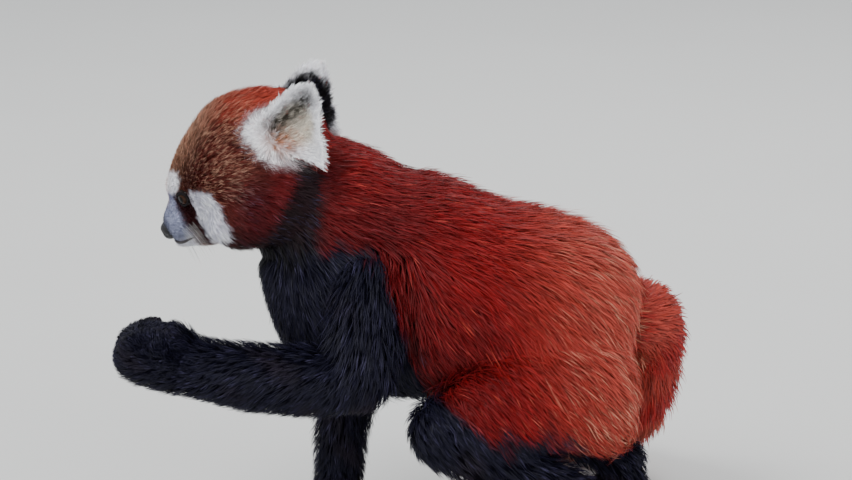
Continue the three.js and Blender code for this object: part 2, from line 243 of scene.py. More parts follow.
# The body's forms. Rows: x, y, z of the middle, half width, reach above, reach below, coat depth.
BACK = (1, 0, 0)
FRONT = (-1, 0, 0)
RIGHT = tuple(-LEFT)
TORSO = [
    (0, -114, 190, 0, 0, 0, 7),
    (0, -98, 194, 40, 50, 56, 9),
    (0, -60, 203, 62, 86, 87, 16),
    (0, -9, 200, 74, 100, 93, 17),
    (0, 44, 188, 80, 90, 84, 18),
    (0, 95, 178, 82, 88, 80, 18),
    (0, 130, 170, 78, 82, 76, 18),
    (0, 158, 164, 60, 60, 62, 17),
    (0, 178, 160, 0, 0, 0, 16),
]
NECK = [
    (-3, -142, 268, 0, 0, 0, 5),
    (-2, -116, 270, 42, 46, 38, 6),
    (-1, -84, 262, 58, 70, 56, 12),
    (0, -48, 240, 64, 73, 70, 15),
    (0, -8, 216, 56, 68, 60, 17),
    (0, 24, 200, 0, 0, 0, 17),
]
SKULL = [
    (0, -66, 0, 0, 0, 0, 8),
    (0, -53, 2, 38, 32, 34, 8),
    (0, -30, 4, 57, 54, 46, 7),
    (0, 0, 4, 63, 61, 50, 6),
    (0, 26, 2, 60, 52, 48, 5),
    (0, 44, 0, 43, 41, 40, 3),
    (0, 57, -2, 27, 30, 30, 2),
    (0, 64, -4, 15, 20, 20, 1.5),
    (0, 68, -5, 0, 0, 0, 1.5),
]
MUZZLE = [
    (0, 40, -6, 0, 0, 0, 1.5),
    (0, 50, -7, 25, 21, 20, 1.5),
    (0, 62, -8, 24, 21, 16, 1.5),
    (0, 71, -10, 22, 16, 15, 1.3),
    (0, 78, -12, 17, 12, 13, 1),
    (0, 82, -13, 12, 9, 10, 1),
    (0, 84, -13, 0, 0, 0, 1),
]
JAW = [
    (0, 36, -28, 0, 0, 0, 2),
    (0, 50, -28, 22, 9, 14, 4),
    (0, 66, -26, 16, 7, 11, 3.5),
    (0, 79, -24, 10, 5, 8, 2.5),
    (0, 84, -23, 0, 0, 0, 1.5),
]
CHEEK = [
    (30, -46, -20, 0, 0, 0, 10),
    (37, -26, -20, 24, 24, 28, 10),
    (39, 2, -21, 29, 28, 36, 9),
    (35, 28, -21, 25, 22, 31, 6),
    (26, 50, -20, 0, 0, 0, 2.5),
]
LIFTED_UPPER = [
    (36, -24, 240, 0, 0, 0, 14),
    (50, -28, 222, 30, 34, 32, 14),
    (62, -32, 186, 33, 38, 36, 13),
    (68, -36, 152, 32, 34, 34, 11),
    (69, -39, 128, 25, 26, 26, 9),
    (69, -41, 110, 0, 0, 0, 8),
]
LIFTED_FORE = [
    (68, -14, 140, 0, 0, 0, 9),
    (68, -34, 140, 25, 26, 26, 9),
    (69, -60, 140, 30, 31, 31, 8),
    (69, -90, 141, 30, 31, 31, 7),
    (68, -124, 143, 28, 30, 30, 7),
    (66, -158, 149, 25, 27, 27, 6),
    (64, -184, 156, 25, 26, 28, 5),
    (63, -202, 162, 0, 0, 0, 5),
]
STANDING = [
    (-32, -42, 232, 0, 0, 0, 14),
    (-42, -44, 210, 28, 38, 34, 14),
    (-48, -44, 164, 31, 40, 36, 13),
    (-47, -48, 118, 28, 32, 30, 10),
    (-FORELEG_OUT, -53, 78, 23, 26, 26, 8),
    (-FORELEG_OUT, -55, 46, 20, 23, 23, 6),
    (-FORELEG_OUT, -57, 18, 19, 21, 21, 4),
    (-FORELEG_OUT, -58, 4, 0, 0, 0, 4),
]
FOREPAW = [
    (-FORELEG_OUT, -32, 18, 0, 0, 0, 4),
    (-FORELEG_OUT, -42, 16, 19, 16, 20, 4),
    (-FORELEG_OUT, -60, 14, 22, 15, 17, 4),
    (-FORELEG_OUT, -76, 11, 22, 11, 14, 3),
    (-FORELEG_OUT, -86, 9, 0, 0, 0, 2),
]
FIST = [
    (66, -160, 150, 0, 0, 0, 5),
    (65, -174, 153, 26, 33, 27, 6),
    (64, -196, 156, 29, 35, 26, 6),
    (63, -216, 158, 26, 25, 20, 5),
    (63, -230, 160, 0, 0, 0, 4),
]
THIGH_LEFT = [
    (48, 186, 140, 0, 0, 0, 16),
    (52, 152, 135, 38, 46, 62, 16),
    (58, 112, 126, 40, 60, 52, 16),
    (62, 72, 114, 40, 54, 44, 15),
    (66, 38, 102, 35, 44, 38, 13),
    (67, 12, 93, 24, 29, 28, 10),
    (67, -2, 88, 0, 0, 0, 9),
]
THIGH_RIGHT = [
    (-48, 184, 142, 0, 0, 0, 16),
    (-52, 158, 138, 38, 42, 58, 16),
    (-56, 128, 129, 39, 54, 50, 15),
    (-60, 100, 116, 36, 46, 40, 14),
    (-62, 74, 104, 28, 34, 32, 12),
    (-62, 58, 96, 0, 0, 0, 10),
]
TAIL = [
    (-4, 150, 163, 0, 0, 0, 10),
    (-24, 170, 168, 26, 26, 26, 12),
    (-62, 186, 160, 37, 37, 37, 18),
    (-112, 186, 116, 40, 40, 40, 20),
    (-160, 176, 66, 40, 40, 40, 20),
    (-206, 156, TAIL_REST + 3, 40, 40, 40, 20),
    (-246, 124, TAIL_REST, 39, 39, 39, 19),
    (-268, 86, TAIL_REST - 1, 34, 34, 36, 17),
    (-274, 58, TAIL_REST - 3, 0, 0, 0, 14),
]
WEST = (0.4, 0, 0.92)


def mirrored(rows):
    """The same rows on the other side of the midline."""
    return [(-row[0], *row[1:]) for row in rows]


def shank(sign, knee, drop, length):
    """The rows of a lower hind leg, back and down from the knee to the heel."""
    shares = ((-0.02, 0, 0, 0, 0, 9), (0.15, 4, 27, 29, 30, 9), (0.42, 3, 26, 29, 29, 8))
    shares += ((0.7, 1, 22, 25, 25, 7), (0.9, -1, 19, 22, 24, 6), (1.03, -2, 0, 0, 0, 5))
    return [
        (sign * (HIP_OUT + 5 * (1 - s)), knee[0] + s * length, knee[1] - s * drop + lift, *rest)
        for s, lift, *rest in shares
    ]


def foot(sign, heel):
    """The rows of a hind foot that rests on its whole sole."""
    x = sign * HIP_OUT
    return [
        (x, heel + 8, 20, 0, 0, 0, 4),
        (x, heel - 5, 21, 17, 19, 24, 4),
        (x, heel - 38, 17, 19, 16, 20, 4),
        (x, heel - 72, 13, 22, 13, 16, 4),
        (x, heel - 92, 10, 22, 10, 13, 3),
        (x, heel - 103, 9, 0, 0, 0, 2),
    ]


def standing_toes(x, y, side):
    """Five toes in a fan: for each the middles of root, knuckle, end, claw bend and claw tip."""
    made = []
    steps = ((24, 12, 0), (6, 9, 0.5), (-5, 7, 0.8), (-12, 7.5, 1), (-18, 3, 1.2))
    for k in (-2, -1, 0, 1, 2):
        lane, reach, flare = x + k * TOE_SPREAD, y + abs(k - 0.4 * side) ** 2 * 2.4, k * 2.2
        made.append(([(lane + flare * share, reach + dy, z) for dy, z, share in steps], TOE_RADIUS))
    return made


def curled_toes():
    """The lifted paw's toes, curled up and back over the palm, and its inner toe."""
    made = []
    for k in (-2, -1, 0, 1):
        x, late = 66 + k * 12, abs(k + 0.5) * 2
        steps = [(x, -206, 154), (x, -217 + late, 168), (x, -200 + late, 178), (x, -184, 174), (x, -182, 169)]
        made.append((steps, CURLED_TOE_RADIUS))
    inner = [(82, -172, 158), (89, -190, 166), (86, -192, 175), (82, -187, 176), (78, -184, 170)]
    return made + [(inner, THUMB_RADIUS)]


def toe_rows(points, radius):
    """A toe's rows, from its root to its rounded end."""
    a, b, c = (np.array(p, float) for p in points[:3])
    end = c + (c - b) * 0.45
    sizes = ((0, 1.5), (radius, 1.8), (radius * 0.85, 1.5), (0, 1))
    return [(*at, size, size, size, coat) for at, (size, coat) in zip((a, b, c, end), sizes)]


TOES = {
    "paw_left": curled_toes(),
    "paw_right": standing_toes(-FORELEG_OUT, -84, -1),
    "foot_left": standing_toes(HIP_OUT, HEEL_AT - TOES_FROM_HEEL, 1),
    "foot_right": standing_toes(-HIP_OUT, HEEL_AT + STEP - TOES_FROM_HEEL, -1),
}

# The parts that the coat's colour and pieces go by
PARTS = ("head", "muzzle", "ear", "trunk", "arm", "paw", "thigh", "shank", "tail")


def forms():
    """Every form of the skin: rows, way across, part, and how the hair runs: along the rows (1) or against
    them (-1), with how far it droops."""
    listed = [
        (TORSO, BACK, "trunk", 1, 0.45),
        (NECK, BACK, "trunk", 1, 0.6),
        (head_rows(SKULL), RIGHT, "head", -1, 0.25),
        (head_rows(MUZZLE), RIGHT, "muzzle", -1, 0.35),
        (head_rows(JAW), RIGHT, "muzzle", -1, 1.2),
        (head_rows(CHEEK), RIGHT, "head", -1, 0.9),
        (head_rows(mirrored(CHEEK)), RIGHT, "head", -1, 0.9),
        (LIFTED_UPPER, BACK, "arm", 1, 0.3),
        (LIFTED_FORE, FRONT, "arm", 1, 0.7),
        (STANDING, BACK, "arm", 1, 0.2),
        (FOREPAW, FRONT, "paw", 1, 0.1),
        (FIST, FRONT, "paw", 1, 0.2),
        (THIGH_LEFT, FRONT, "thigh", -1, 0.7),
        (THIGH_RIGHT, FRONT, "thigh", -1, 0.7),
        (shank(1, (18, 92), 52, 132), BACK, "shank", 1, 0.3),
        (shank(-1, (70, 94), 58, 118), BACK, "shank", 1, 0.3),
        (foot(1, HEEL_AT), FRONT, "paw", 1, 0.1),
        (foot(-1, HEEL_AT + STEP), FRONT, "paw", 1, 0.1),
        (TAIL, WEST, "tail", 1, 0.0),
    ]
    for toes in TOES.values():
        listed += [(toe_rows(points, radius), FRONT, "paw", 1, 0.0) for points, radius in toes]
    return listed


# An ear's outline as [back, up] from its foot, from the front corner over the tip to the hanging rear lobe
EAR_OUTLINE = [
    (-35, 0), (-30, 28), (-23, 50), (-10, 60), (3, 52), (14, 36), (28, 17), (40, 0), (22, 1), (-8, -5),
]
EAR_MIDDLE = np.array([-5.0, 21.0])
EAR_DEPTH = 14.0
EAR_WALL = 1.7  # half the shell's thickness near the rim, under the coat
EAR_INSET = 0.96  # leaves room for the coat round the rim
EAR_COAT = 3.0


def ear_frame(sign):
    """An ear's foot on the head, the way back along its base, the way up it and the way that it opens."""
    out = unit(sign * 0.985 * LEFT + 0.17 * UP)
    rise = sign * -0.1 * LEFT - 0.82 * AHEAD + 0.56 * UP
    rise = unit(rise - out * (rise @ out))
    return on_head(sign * 56, -37, 8), sign * np.cross(rise, out), rise, out


def ear_grid(sign, rings=40, sides=60):
    """An ear's shell on a grid of turn and walk: out over the back from the middle to the rim, then in over
    the front. The outline is a closed Catmull-Rom curve and the middle is sunk as 1 - r^2. Also gives r,
    0 in the middle and 1 at the rim."""
    v = np.linspace(0, 1, rings)[:, None]
    inner = v > 0.5
    r = np.where(inner, 2 * (1 - v), 2 * v)
    count = len(EAR_OUTLINE)
    t = count + np.linspace(0, count, sides, endpoint=False)
    outline = spline(np.array(EAR_OUTLINE * 3, float), t) * EAR_INSET
    flat = EAR_MIDDLE + r[..., None] * (outline[None] - EAR_MIDDLE)
    wall = np.where(inner, 1.0, -1.0) * (EAR_WALL + EAR_WALL * (1 - r)) * smooth(0, 0.1, 1 - r)
    sunk = (1 - r * r) * -EAR_DEPTH + wall
    foot_at, back, rise, out = ear_frame(sign)
    points = foot_at + flat[..., :1] * back + flat[..., 1:] * rise + sunk[..., None] * out
    return points, np.broadcast_to(r, flat.shape[:2])


# The coat's fields: where each sample of a form lies, and what the hair does there
FIELDS = ("flow_x", "flow_y", "flow_z", "coat", "rim", "length") + PARTS


def trunk_lie(p):
    """The way that the trunk's hair lies: back over the top, steeply down the flanks and down the chest."""
    y, z = p[:, 1], p[:, 2]
    chest = smooth(-66, -104, y)
    down = 0.30 + 0.85 * smooth(285, 185, z) + 0.6 * chest
    return unit(np.stack([0 * y, 1 - 0.9 * chest, -down], 1))


def field_samples():
    """Points over every form with their fields: hair direction, coat depth, ear rim, the place along the
    form, and a one for the part. Also where each lies on the coat's map."""
    places, rows, charts = [], [], []
    for number, (table, across, part, run, droop) in enumerate(forms()):
        small = len(table) == 4
        rings, sides = (9, 8) if small else (26, 18)
        grid, along, t, coat = loft(table, across, rings, sides)
        flow = unit(along * run + np.array([0, 0, -droop]))
        n = rings * sides
        values = np.zeros((n, len(FIELDS)))
        values[:, :3] = np.repeat(flow, sides, 0)
        if part in ("trunk", "thigh"):
            values[:, :3] = trunk_lie(grid.reshape(-1, 3))
        values[:, FIELDS.index("coat")] = np.repeat(coat, sides)
        values[:, FIELDS.index("length")] = np.repeat(t, sides)
        values[:, FIELDS.index(part)] = 1
        places.append(grid.reshape(-1, 3))
        rows.append(values)
        charts.append(chart_of(number, rings, sides))
    for k, sign in enumerate((1, -1)):
        rings, sides = 18, 20
        grid, r = ear_grid(sign, rings, sides)
        foot_at, back, rise = ear_frame(sign)[:3]
        away = unit(grid - foot_at - EAR_MIDDLE @ np.array([back, rise]))
        values = np.zeros((r.size, len(FIELDS)))
        values[:, :3] = unit(away * r[..., None] + rise * 0.35 + back * 0.25).reshape(-1, 3)
        values[:, FIELDS.index("coat")] = EAR_COAT
        values[:, FIELDS.index("rim")] = r.ravel()
        values[:, FIELDS.index("ear")] = 1
        places.append(grid.reshape(-1, 3))
        rows.append(values)
        charts.append(chart_of(len(forms()) + k, rings, sides))
    return np.concatenate(places), np.concatenate(rows), np.concatenate(charts)


def chart_of(number, rings, sides):
    """Where a form's samples lie on the coat's map: each form unrolls into its own cell of a square sheet."""
    row, column = divmod(number, MAP_CELLS)
    v = np.repeat(np.linspace(*CELL_SPAN, rings), sides)
    u = np.tile(np.linspace(*CELL_SPAN, sides), rings)
    return np.stack([column + u, row + v], 1) / MAP_CELLS


def squared_gaps(p, places):
    """Yields the squared distances from p to all the places, one block of p at a time."""
    places = places.astype(np.float32)
    square = (places**2).sum(1)
    for chunk in np.array_split(p.astype(np.float32), max(1, len(p) // 2500)):
        yield (chunk**2).sum(1)[:, None] + square[None] - 2 * chunk @ places.T


def gap_to(p, places):
    """How far each point is from the nearest of the places."""
    return np.sqrt(np.maximum(np.concatenate([d2.min(1) for d2 in squared_gaps(p, places)]), 0))


def nearest_to(p, places):
    """Which of the places is nearest to each point."""
    return np.concatenate([d2.argmin(1) for d2 in squared_gaps(p, places)])


def blend_fields(p, places, rows, reach=7.0):
    """The fields at p: the mean over all samples, weighted by exp(-d^2 / 2 reach^2)."""
    made = []
    for d2 in squared_gaps(p, places):
        w = np.exp((d2.min(1, keepdims=True) - d2) / (2 * reach**2))
        made.append(w @ rows.astype(np.float32) / w.sum(1, keepdims=True))
    return np.concatenate(made).astype(float)


# Markings, and the colours of painted highlights on hair tips
RED = srgb(126, 10, 12)
DEEP_RED = srgb(78, 4, 8)
RUMP = srgb(172, 74, 60)
NAVY = srgb(16, 15, 33)
SOOT = srgb(11, 9, 15)
# painted highlights: the violet and coral tip colours of some black and red tufts
VIOLET_PAINTED_HIGHLIGHT = srgb(66, 62, 92)
CORAL_PAINTED_HIGHLIGHT = srgb(190, 70, 54)
PALE_TIP = srgb(216, 168, 138)
TAN = srgb(194, 150, 122)
GRIZZLE = srgb(88, 36, 29)
CROWN = srgb(158, 56, 40)
WINE = srgb(70, 8, 14)
WHITE = srgb(250, 250, 255)
PATCH_WHITE = srgb(228, 228, 240)
MUZZLE_GREY = srgb(168, 173, 200)
STRIPE = srgb(54, 10, 14)
STRAW = srgb(208, 194, 156)
EAR_TAN = srgb(172, 112, 80)
BUFF = srgb(180, 112, 84)
TAIL_RED = srgb(146, 30, 28)


def side_view(p):
    """Back-and-forth place and height of p as seen from the side and a little above. Both sides of the head
    read as its left one."""
    local = (p - HEAD_AT) @ HEAD_AXES.T
    local[:, 0] = np.abs(local[:, 0])
    q = HEAD_AT + local @ HEAD_AXES
    return np.stack([q[:, 1], q[:, 2] - 0.2126 * q[:, 0]], 1)


def inside(q, corners):
    """How far each point lies inside an outline, in millimetres, less than 0 outside: the distance to the
    nearest edge, with its sign from how many edges a ray crosses."""
    a = np.asarray(corners, float)
    b = np.roll(a, -1, 0)
    edge = b - a
    rel = q[:, None] - a[None]
    t = np.clip((rel * edge).sum(2) / (edge**2).sum(1), 0, 1)
    d = np.linalg.norm(rel - t[..., None] * edge, axis=2).min(1)
    above = (a[:, 1] > q[:, 1:2]) != (b[:, 1] > q[:, 1:2])
    rise = np.where(edge[:, 1] == 0, 1e-9, edge[:, 1])
    cross = q[:, :1] < a[:, 0] + (q[:, 1:2] - a[:, 1]) * edge[:, 0] / rise
    within = (above & cross).sum(1) % 2 == 1
    return np.where(within, d, -d)


# Outlines of markings in side_view, and the dark border along the trunk. All in millimetres
PATCH = [
    (-169, 274), (-153, 273), (-143, 259), (-135, 238), (-145, 233), (-156, 236), (-163, 250), (-168, 264),
]
EYE_STRIPE = [
    (-176, 273), (-168, 268), (-164, 256), (-157, 239), (-152, 231), (-143, 226),
    (-151, 223), (-160, 224), (-169, 235), (-175, 248), (-180, 260), (-181, 268),
]
PALE_MUZZLE = [
    (-215, 276), (-183, 276), (-182, 266), (-179, 258), (-174, 247), (-170, 236), (-165, 226), (-168, 214),
    (-215, 214),
]
BROW_SPOT = [(-200, 290), (-180, 290), (-177, 284), (-179, 275), (-184, 273), (-200, 273)]
NECK_BAND = [
    (-85, 298), (-71, 288), (-68, 268), (-71, 240), (-85, 221), (-114, 218), (-117, 231), (-102, 254),
    (-92, 271), (-87, 287),
]


def lay(under, over, amount):
    """over laid on under by amount."""
    return under + (over - under) * np.clip(amount, 0, 1)[:, None]


def head_colour(p):
    """The head: tan rim, grizzled brown sides, red towards the ears, wine cheeks, white patch and brow,
    a dark stripe below the eye and a pale muzzle."""
    q = side_view(p)
    q = q + np.stack([wobble(p, 7, 11), wobble(p, 7, 12)], 1) * 1.2
    y, h = q.T
    local = (p - HEAD_AT) @ HEAD_AXES.T
    c = np.tile(GRIZZLE, (len(p), 1))
    rim = smooth(48, 70, local[:, 2] + 0.62 * local[:, 1]) * smooth(-20, 15, local[:, 1])
    c = lay(c, CROWN, smooth(-176, -118, y) * smooth(312, 342, h))
    c = lay(c, TAN, np.maximum(rim, smooth(46, 62, local[:, 1]) * smooth(272, 284, h) * 0.6) * 0.75)
    c = lay(c, WINE, smooth(-150, -118, y) * smooth(296, 268, h))
    c = lay(c, RED, smooth(-112, -92, y) * smooth(350, 320, h))
    c = lay(c, DEEP_RED, smooth(-118, -96, y) * smooth(312, 290, h) * 0.9)
    c = lay(c, SOOT, smooth(250, 226, h) * smooth(-160, -140, y) * 0.75)
    c = lay(c, SOOT, smooth(234, 226, h) * smooth(-166, -154, y))
    c = lay(c, SOOT, smooth(-5, 3, inside(q, NECK_BAND)) * 0.9)
    c = lay(c, PATCH_WHITE, smooth(-2.2, 1.2, inside(q, PATCH)))
    c = lay(c, MUZZLE_GREY, smooth(-2, 1, inside(q, PALE_MUZZLE)))
    c = lay(c, WHITE, smooth(-2, 1, inside(q, BROW_SPOT)))
    c = lay(c, STRIPE, smooth(-1.6, 0.8, inside(q, EYE_STRIPE)))
    bridge = np.exp(-((local[:, 0] / 8) ** 2)) * smooth(52, 60, local[:, 1]) * smooth(30, 18, local[:, 2])
    return lay(c, TAN, bridge * 0.6)


def muzzle_colour(p):
    """The muzzle: blue-grey with a browner bridge, a dark edge round the nose and a white chin. Behind it the
    head's own marks run on."""
    local = (p - HEAD_AT) @ HEAD_AXES.T
    c = np.tile(MUZZLE_GREY, (len(p), 1))
    bridge = np.exp(-((local[:, 0] / 7) ** 2)) * smooth(0, 8, local[:, 2]) * smooth(80, 64, local[:, 1])
    c = lay(c, TAN * 0.8, bridge * 0.5)
    c = lay(c, PATCH_WHITE, smooth(-20, -27, local[:, 2]))
    c = lay(c, SOOT, smooth(77, 82, local[:, 1]) * smooth(-24, -18, local[:, 2]) * 0.6)
    return lay(head_colour(p), c, smooth(61, 70, local[:, 1]))


BORDER_Y = (-200, -120, -85, -40, -22, -18, -10, 17, 38, 78, 118, 149, 175, 200)
BORDER_Z = (262, 252, 243, 238, 232, 203, 171, 123, 112, 96, 97, 76, 62, 60)


def trunk_colour(p):
    """The trunk and thighs: red above and black below a border that drops behind the shoulder, darker on the
    shoulder, and orange with a pale rim over the rump."""
    x, y, z = p.T
    c = np.tile(RED, (len(p), 1))
    c = lay(c, DEEP_RED, smooth(318, 250, z) * smooth(60, -30, y) * 0.9)
    c = lay(c, DEEP_RED, smooth(230, 170, z) * smooth(110, 40, y) * 0.6)
    c = lay(c, RUMP, smooth(60, 180, y + 0.25 * (z - 190)) * 0.85)
    streak = wobble(p * np.array([1.0, 1.0, 0.28]), 13, 23)
    c = lay(c, SOOT, smooth(0.15, 0.9, streak) * smooth(205, 150, z) * smooth(36, 14, y) * 0.75)
    edge = z - 0.06 * np.abs(x) - np.interp(y, BORDER_Y, BORDER_Z)
    dark = smooth(6, -6, edge + 9 * wobble(p * np.array([1, 1, 0.4]), 16, 22))
    c = lay(c, NAVY, dark)
    c = lay(c, SOOT, smooth(-8, 3, inside(side_view(p), NECK_BAND) + 3 * wobble(p, 12, 24)) * 0.9)
    inner = smooth(34, 22, np.abs(x)) * smooth(128, 108, z)
    return lay(c, SOOT, inner)


def leg_colour(p):
    """Legs and paws: black with a blue cast, browner inside."""
    c = np.tile(NAVY, (len(p), 1))
    return lay(c, srgb(40, 28, 34), smooth(0.2, 1, wobble(p, 40, 31)) * 0.4)


def ear_colour(p, rim, normal):
    """The ears: white rims and lobes, tan inside at the foot, a slanting dark tuft in the middle, and backs
    that are black inside the white rim and red at the root."""
    sign = np.where((p - HEAD_AT) @ LEFT > 0, 1, -1)
    flat = np.zeros((len(p), 2))
    facing = np.zeros(len(p))
    for s in (1, -1):
        here = sign == s
        foot_at, back, rise, out = ear_frame(s)
        flat[here] = (p[here] - foot_at) @ np.array([back, rise]).T
        facing[here] = normal[here] @ out
    front = smooth(-0.15, 0.25, facing)
    c = np.tile(WHITE, (len(p), 1))
    c = lay(c, STRAW, front * smooth(0.62, 0.3, rim) * 0.6)
    tan = np.exp(-((((flat - np.array([-7, 5])) / np.array([15, 12])) ** 2).sum(1)))
    c = lay(c, EAR_TAN, front * tan * (0.85 + 0.6 * wobble(p, 6, 42)))
    root, end = np.array([-18.0, 13.0]), np.array([-7.0, 42.0])
    share = np.clip((flat - root) @ (end - root) / ((end - root) ** 2).sum(), 0, 1)
    off = np.linalg.norm(flat - root - share[:, None] * (end - root), axis=1)
    c = lay(c, srgb(48, 42, 34), front * np.exp(-((off / 8.5) ** 2)) * (0.85 + 0.3 * wobble(p, 6, 43)))
    shell = (1 - front) * smooth(0.76, 0.58, rim + 0.06 * wobble(p, 8, 41))
    c = lay(c, SOOT, shell)
    return lay(c, CROWN * 0.8, (1 - front) * smooth(14, 2, flat[:, 1]))


def tail_colour(p, t):
    """The tail: twelve rings, faint near the root and clear towards the dark tip."""
    ring = 1 + (t - 1.8) * (TAIL_RINGS - 2) / (len(TAIL) - 3.5) + 0.12 * wobble(p, 14, 51)
    pale = smooth(0.2, -0.2, np.sin(np.pi * (ring - 1)))
    c = np.tile(TAIL_RED, (len(p), 1))
    c = lay(c, BUFF, pale * (0.12 + 0.75 * smooth(3.5, 7, ring)))
    c = lay(c, RUMP, smooth(1.7, 0.8, t) * 0.8)
    return lay(c, SOOT * 1.6, smooth(10.6, 11.4, ring))


def coat_colour(p, fields, normal):
    """The coat's colour at points p: each part's own colour, mixed by how much of the part is there."""
    at = {name: fields[:, k] for k, name in enumerate(FIELDS)}
    trunk, leg = trunk_colour(p), leg_colour(p)
    shares = {
        "head": head_colour(p),
        "muzzle": muzzle_colour(p),
        "ear": ear_colour(p, at["rim"] / np.maximum(at["ear"], 1e-3), normal),
        "trunk": trunk,
        "arm": lay(leg, trunk, smooth(146, 160, p[:, 2]) * smooth(-46, -30, p[:, 1])),
        "paw": leg,
        "thigh": trunk,
        "shank": leg,
        "tail": tail_colour(p, at["length"] / np.maximum(at["tail"], 1e-3)),
    }
    sharp = {name: at[name] ** 2 for name in PARTS}
    total = sum(sharp.values())
    return sum(shares[name] * (sharp[name] / total)[:, None] for name in PARTS)


def painted_root_shade(colour):
    """The painted shade deep in the coat: how much darker the coat is painted at its root, less so where it
    is pale.
    """
    return 0.36 + 0.5 * np.clip(colour.mean(1), 0, 1)


def paint(obj, colours, name="Coat"):
    """Keeps one colour for each vertex as a colour attribute."""
    layer = obj.data.color_attributes.new(name, "FLOAT_COLOR", "POINT")
    rgba = np.ones((len(colours), 4), np.float32)
    rgba[:, :3] = colours
    layer.data.foreach_set("color", rgba.ravel())


# Materials
BUMP_DEPTH = 0.0006  # metres


def tone_group():
    """A node group that varies a colour a little from place to place: the colour times a noise of 1 -/+
    Amount. Built once."""
    group = bpy.data.node_groups.get("hair_tone")
    if group:
        return group
    group = bpy.data.node_groups.new("hair_tone", "ShaderNodeTree")
    sockets = (("Colour", "INPUT", "Color"), ("Scale", "INPUT", "Float"), ("Amount", "INPUT", "Float"))
    for name, way, kind in sockets + (("Colour", "OUTPUT", "Color"), ("Noise", "OUTPUT", "Float")):
        group.interface.new_socket(name, in_out=way, socket_type=f"NodeSocket{kind}")
    add, link = group.nodes.new, group.links.new
    enter, leave, place = add("NodeGroupInput"), add("NodeGroupOutput"), add("ShaderNodeTexCoord")
    noise = add("ShaderNodeTexNoise")
    noise.inputs["Detail"].default_value = 4
    centred = add("ShaderNodeMath")
    centred.operation = "SUBTRACT"
    centred.inputs[1].default_value = 0.5
    scaled = add("ShaderNodeMath")
    scaled.operation = "MULTIPLY_ADD"
    scaled.inputs[2].default_value = 1.0
    tint = add("ShaderNodeVectorMath")
    tint.operation = "SCALE"
    link(place.outputs["Object"], noise.inputs["Vector"])
    link(enter.outputs["Scale"], noise.inputs["Scale"])
    link(noise.outputs["Fac"], centred.inputs[0])
    link(centred.outputs[0], scaled.inputs[0])
    link(enter.outputs["Amount"], scaled.inputs[1])
    link(enter.outputs["Colour"], tint.inputs[0])
    link(scaled.outputs[0], tint.inputs["Scale"])
    link(tint.outputs[0], leave.inputs["Colour"])
    link(noise.outputs["Fac"], leave.inputs["Noise"])
    return group


def material(name, colour=None, attribute=None, roughness=0.5, scale=300.0, amount=0.5, bump=0.0, **sockets):
    """A finish: a fixed or painted colour varied by hair_tone, with noise bump if bump is above 0."""
    made = bpy.data.materials.new(name)
    made.use_nodes = True
    nodes, link = made.node_tree.nodes, made.node_tree.links.new
    shader = nodes["Principled BSDF"]
    shader.inputs["Roughness"].default_value = roughness
    for key, value in sockets.items():
        shader.inputs[key.replace("_", " ")].default_value = value
    tone = nodes.new("ShaderNodeGroup")
    tone.node_tree = tone_group()
    tone.inputs["Scale"].default_value = scale
    tone.inputs["Amount"].default_value = amount
    if attribute:
        source = nodes.new("ShaderNodeVertexColor")
        source.layer_name = attribute
        link(source.outputs["Color"], tone.inputs["Colour"])
    else:
        tone.inputs["Colour"].default_value = (*colour, 1)
    link(tone.outputs["Colour"], shader.inputs["Base Color"])
    if bump:
        relief = nodes.new("ShaderNodeBump")
        relief.inputs["Strength"].default_value = bump
        relief.inputs["Distance"].default_value = BUMP_DEPTH
        link(tone.outputs["Noise"], relief.inputs["Height"])
        link(relief.outputs["Normal"], shader.inputs["Normal"])
    return made


def finish_piece(obj, finish, nodes=()):
    """Gives a piece its finish, rides it on the one body and hides the given parts of the frame."""
    obj.data.materials.clear()
    obj.data.materials.append(finish)
    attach(obj, "root")
    if nodes:
        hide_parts(*nodes)
    return obj


MADE = {}  # what the skin leaves for the coat: its points, faces, normals, fields and samples


def skin_arrays(obj):
    """The skin's points in the tables' millimetres, its triangles and its vertex normals."""
    mesh = obj.data
    mesh.calc_loop_triangles()
    points = np.empty(len(mesh.vertices) * 3, np.float32)
    mesh.vertices.foreach_get("co", points)
    faces = np.empty(len(mesh.loop_triangles) * 3, np.int32)
    mesh.loop_triangles.foreach_get("vertices", faces)
    normals = np.empty(len(mesh.vertices) * 3, np.float32)
    mesh.vertex_normals.foreach_get("vector", normals)
    return points.reshape(-1, 3) / MM - ORIGIN, faces.reshape(-1, 3), normals.reshape(-1, 3).astype(float)


class PandaSizes(bpy.types.PropertyGroup):
    """Sizes of the skin, coat and whiskers."""

    voxel: bpy.props.FloatProperty(
        name="Skin grain",
        description="Grid size that the skin's forms are melted on",
        default=0.003,
        unit="LENGTH",
    )
    tufts: bpy.props.IntProperty(
        name="Tufts", description="How many tufts grow on the whole coat", default=97000, min=1000
    )
    hair_width: bpy.props.FloatProperty(
        name="Hair width", description="Width of a lock of the body's hair", default=0.0009, unit="LENGTH"
    )
    hair_length: bpy.props.FloatProperty(
        name="Hair length",
        description="Length of the coat against the species",
        default=1.0,
        subtype="FACTOR",
    )
    whisker_length: bpy.props.FloatProperty(
        name="Whisker length", description="Length of the longest whisker", default=0.042, unit="LENGTH"
    )


class PandaColours(bpy.types.PropertyGroup):
    """Colours of the bare parts and the floor."""

    eye: bpy.props.FloatVectorProperty(
        name="Eye", description="Colour of the iris", default=(0.030, 0.012, 0.006), size=3, subtype="COLOR"
    )
    nose: bpy.props.FloatVectorProperty(
        name="Nose",
        description="Colour of the nose and lips",
        default=(0.007, 0.006, 0.008),
        size=3,
        subtype="COLOR",
    )
    claw: bpy.props.FloatVectorProperty(
        name="Claw", description="Colour of the claws", default=(0.24, 0.20, 0.17), size=3, subtype="COLOR"
    )
    floor: bpy.props.FloatVectorProperty(
        name="Floor", description="Colour of the floor", default=(0.66, 0.66, 0.64), size=3, subtype="COLOR"
    )


FEWEST_POINTS = 5000  # a melted skin has many more
EVEN_ROUNDS = 5
SKIN_FLOOR_GAP = 0.4


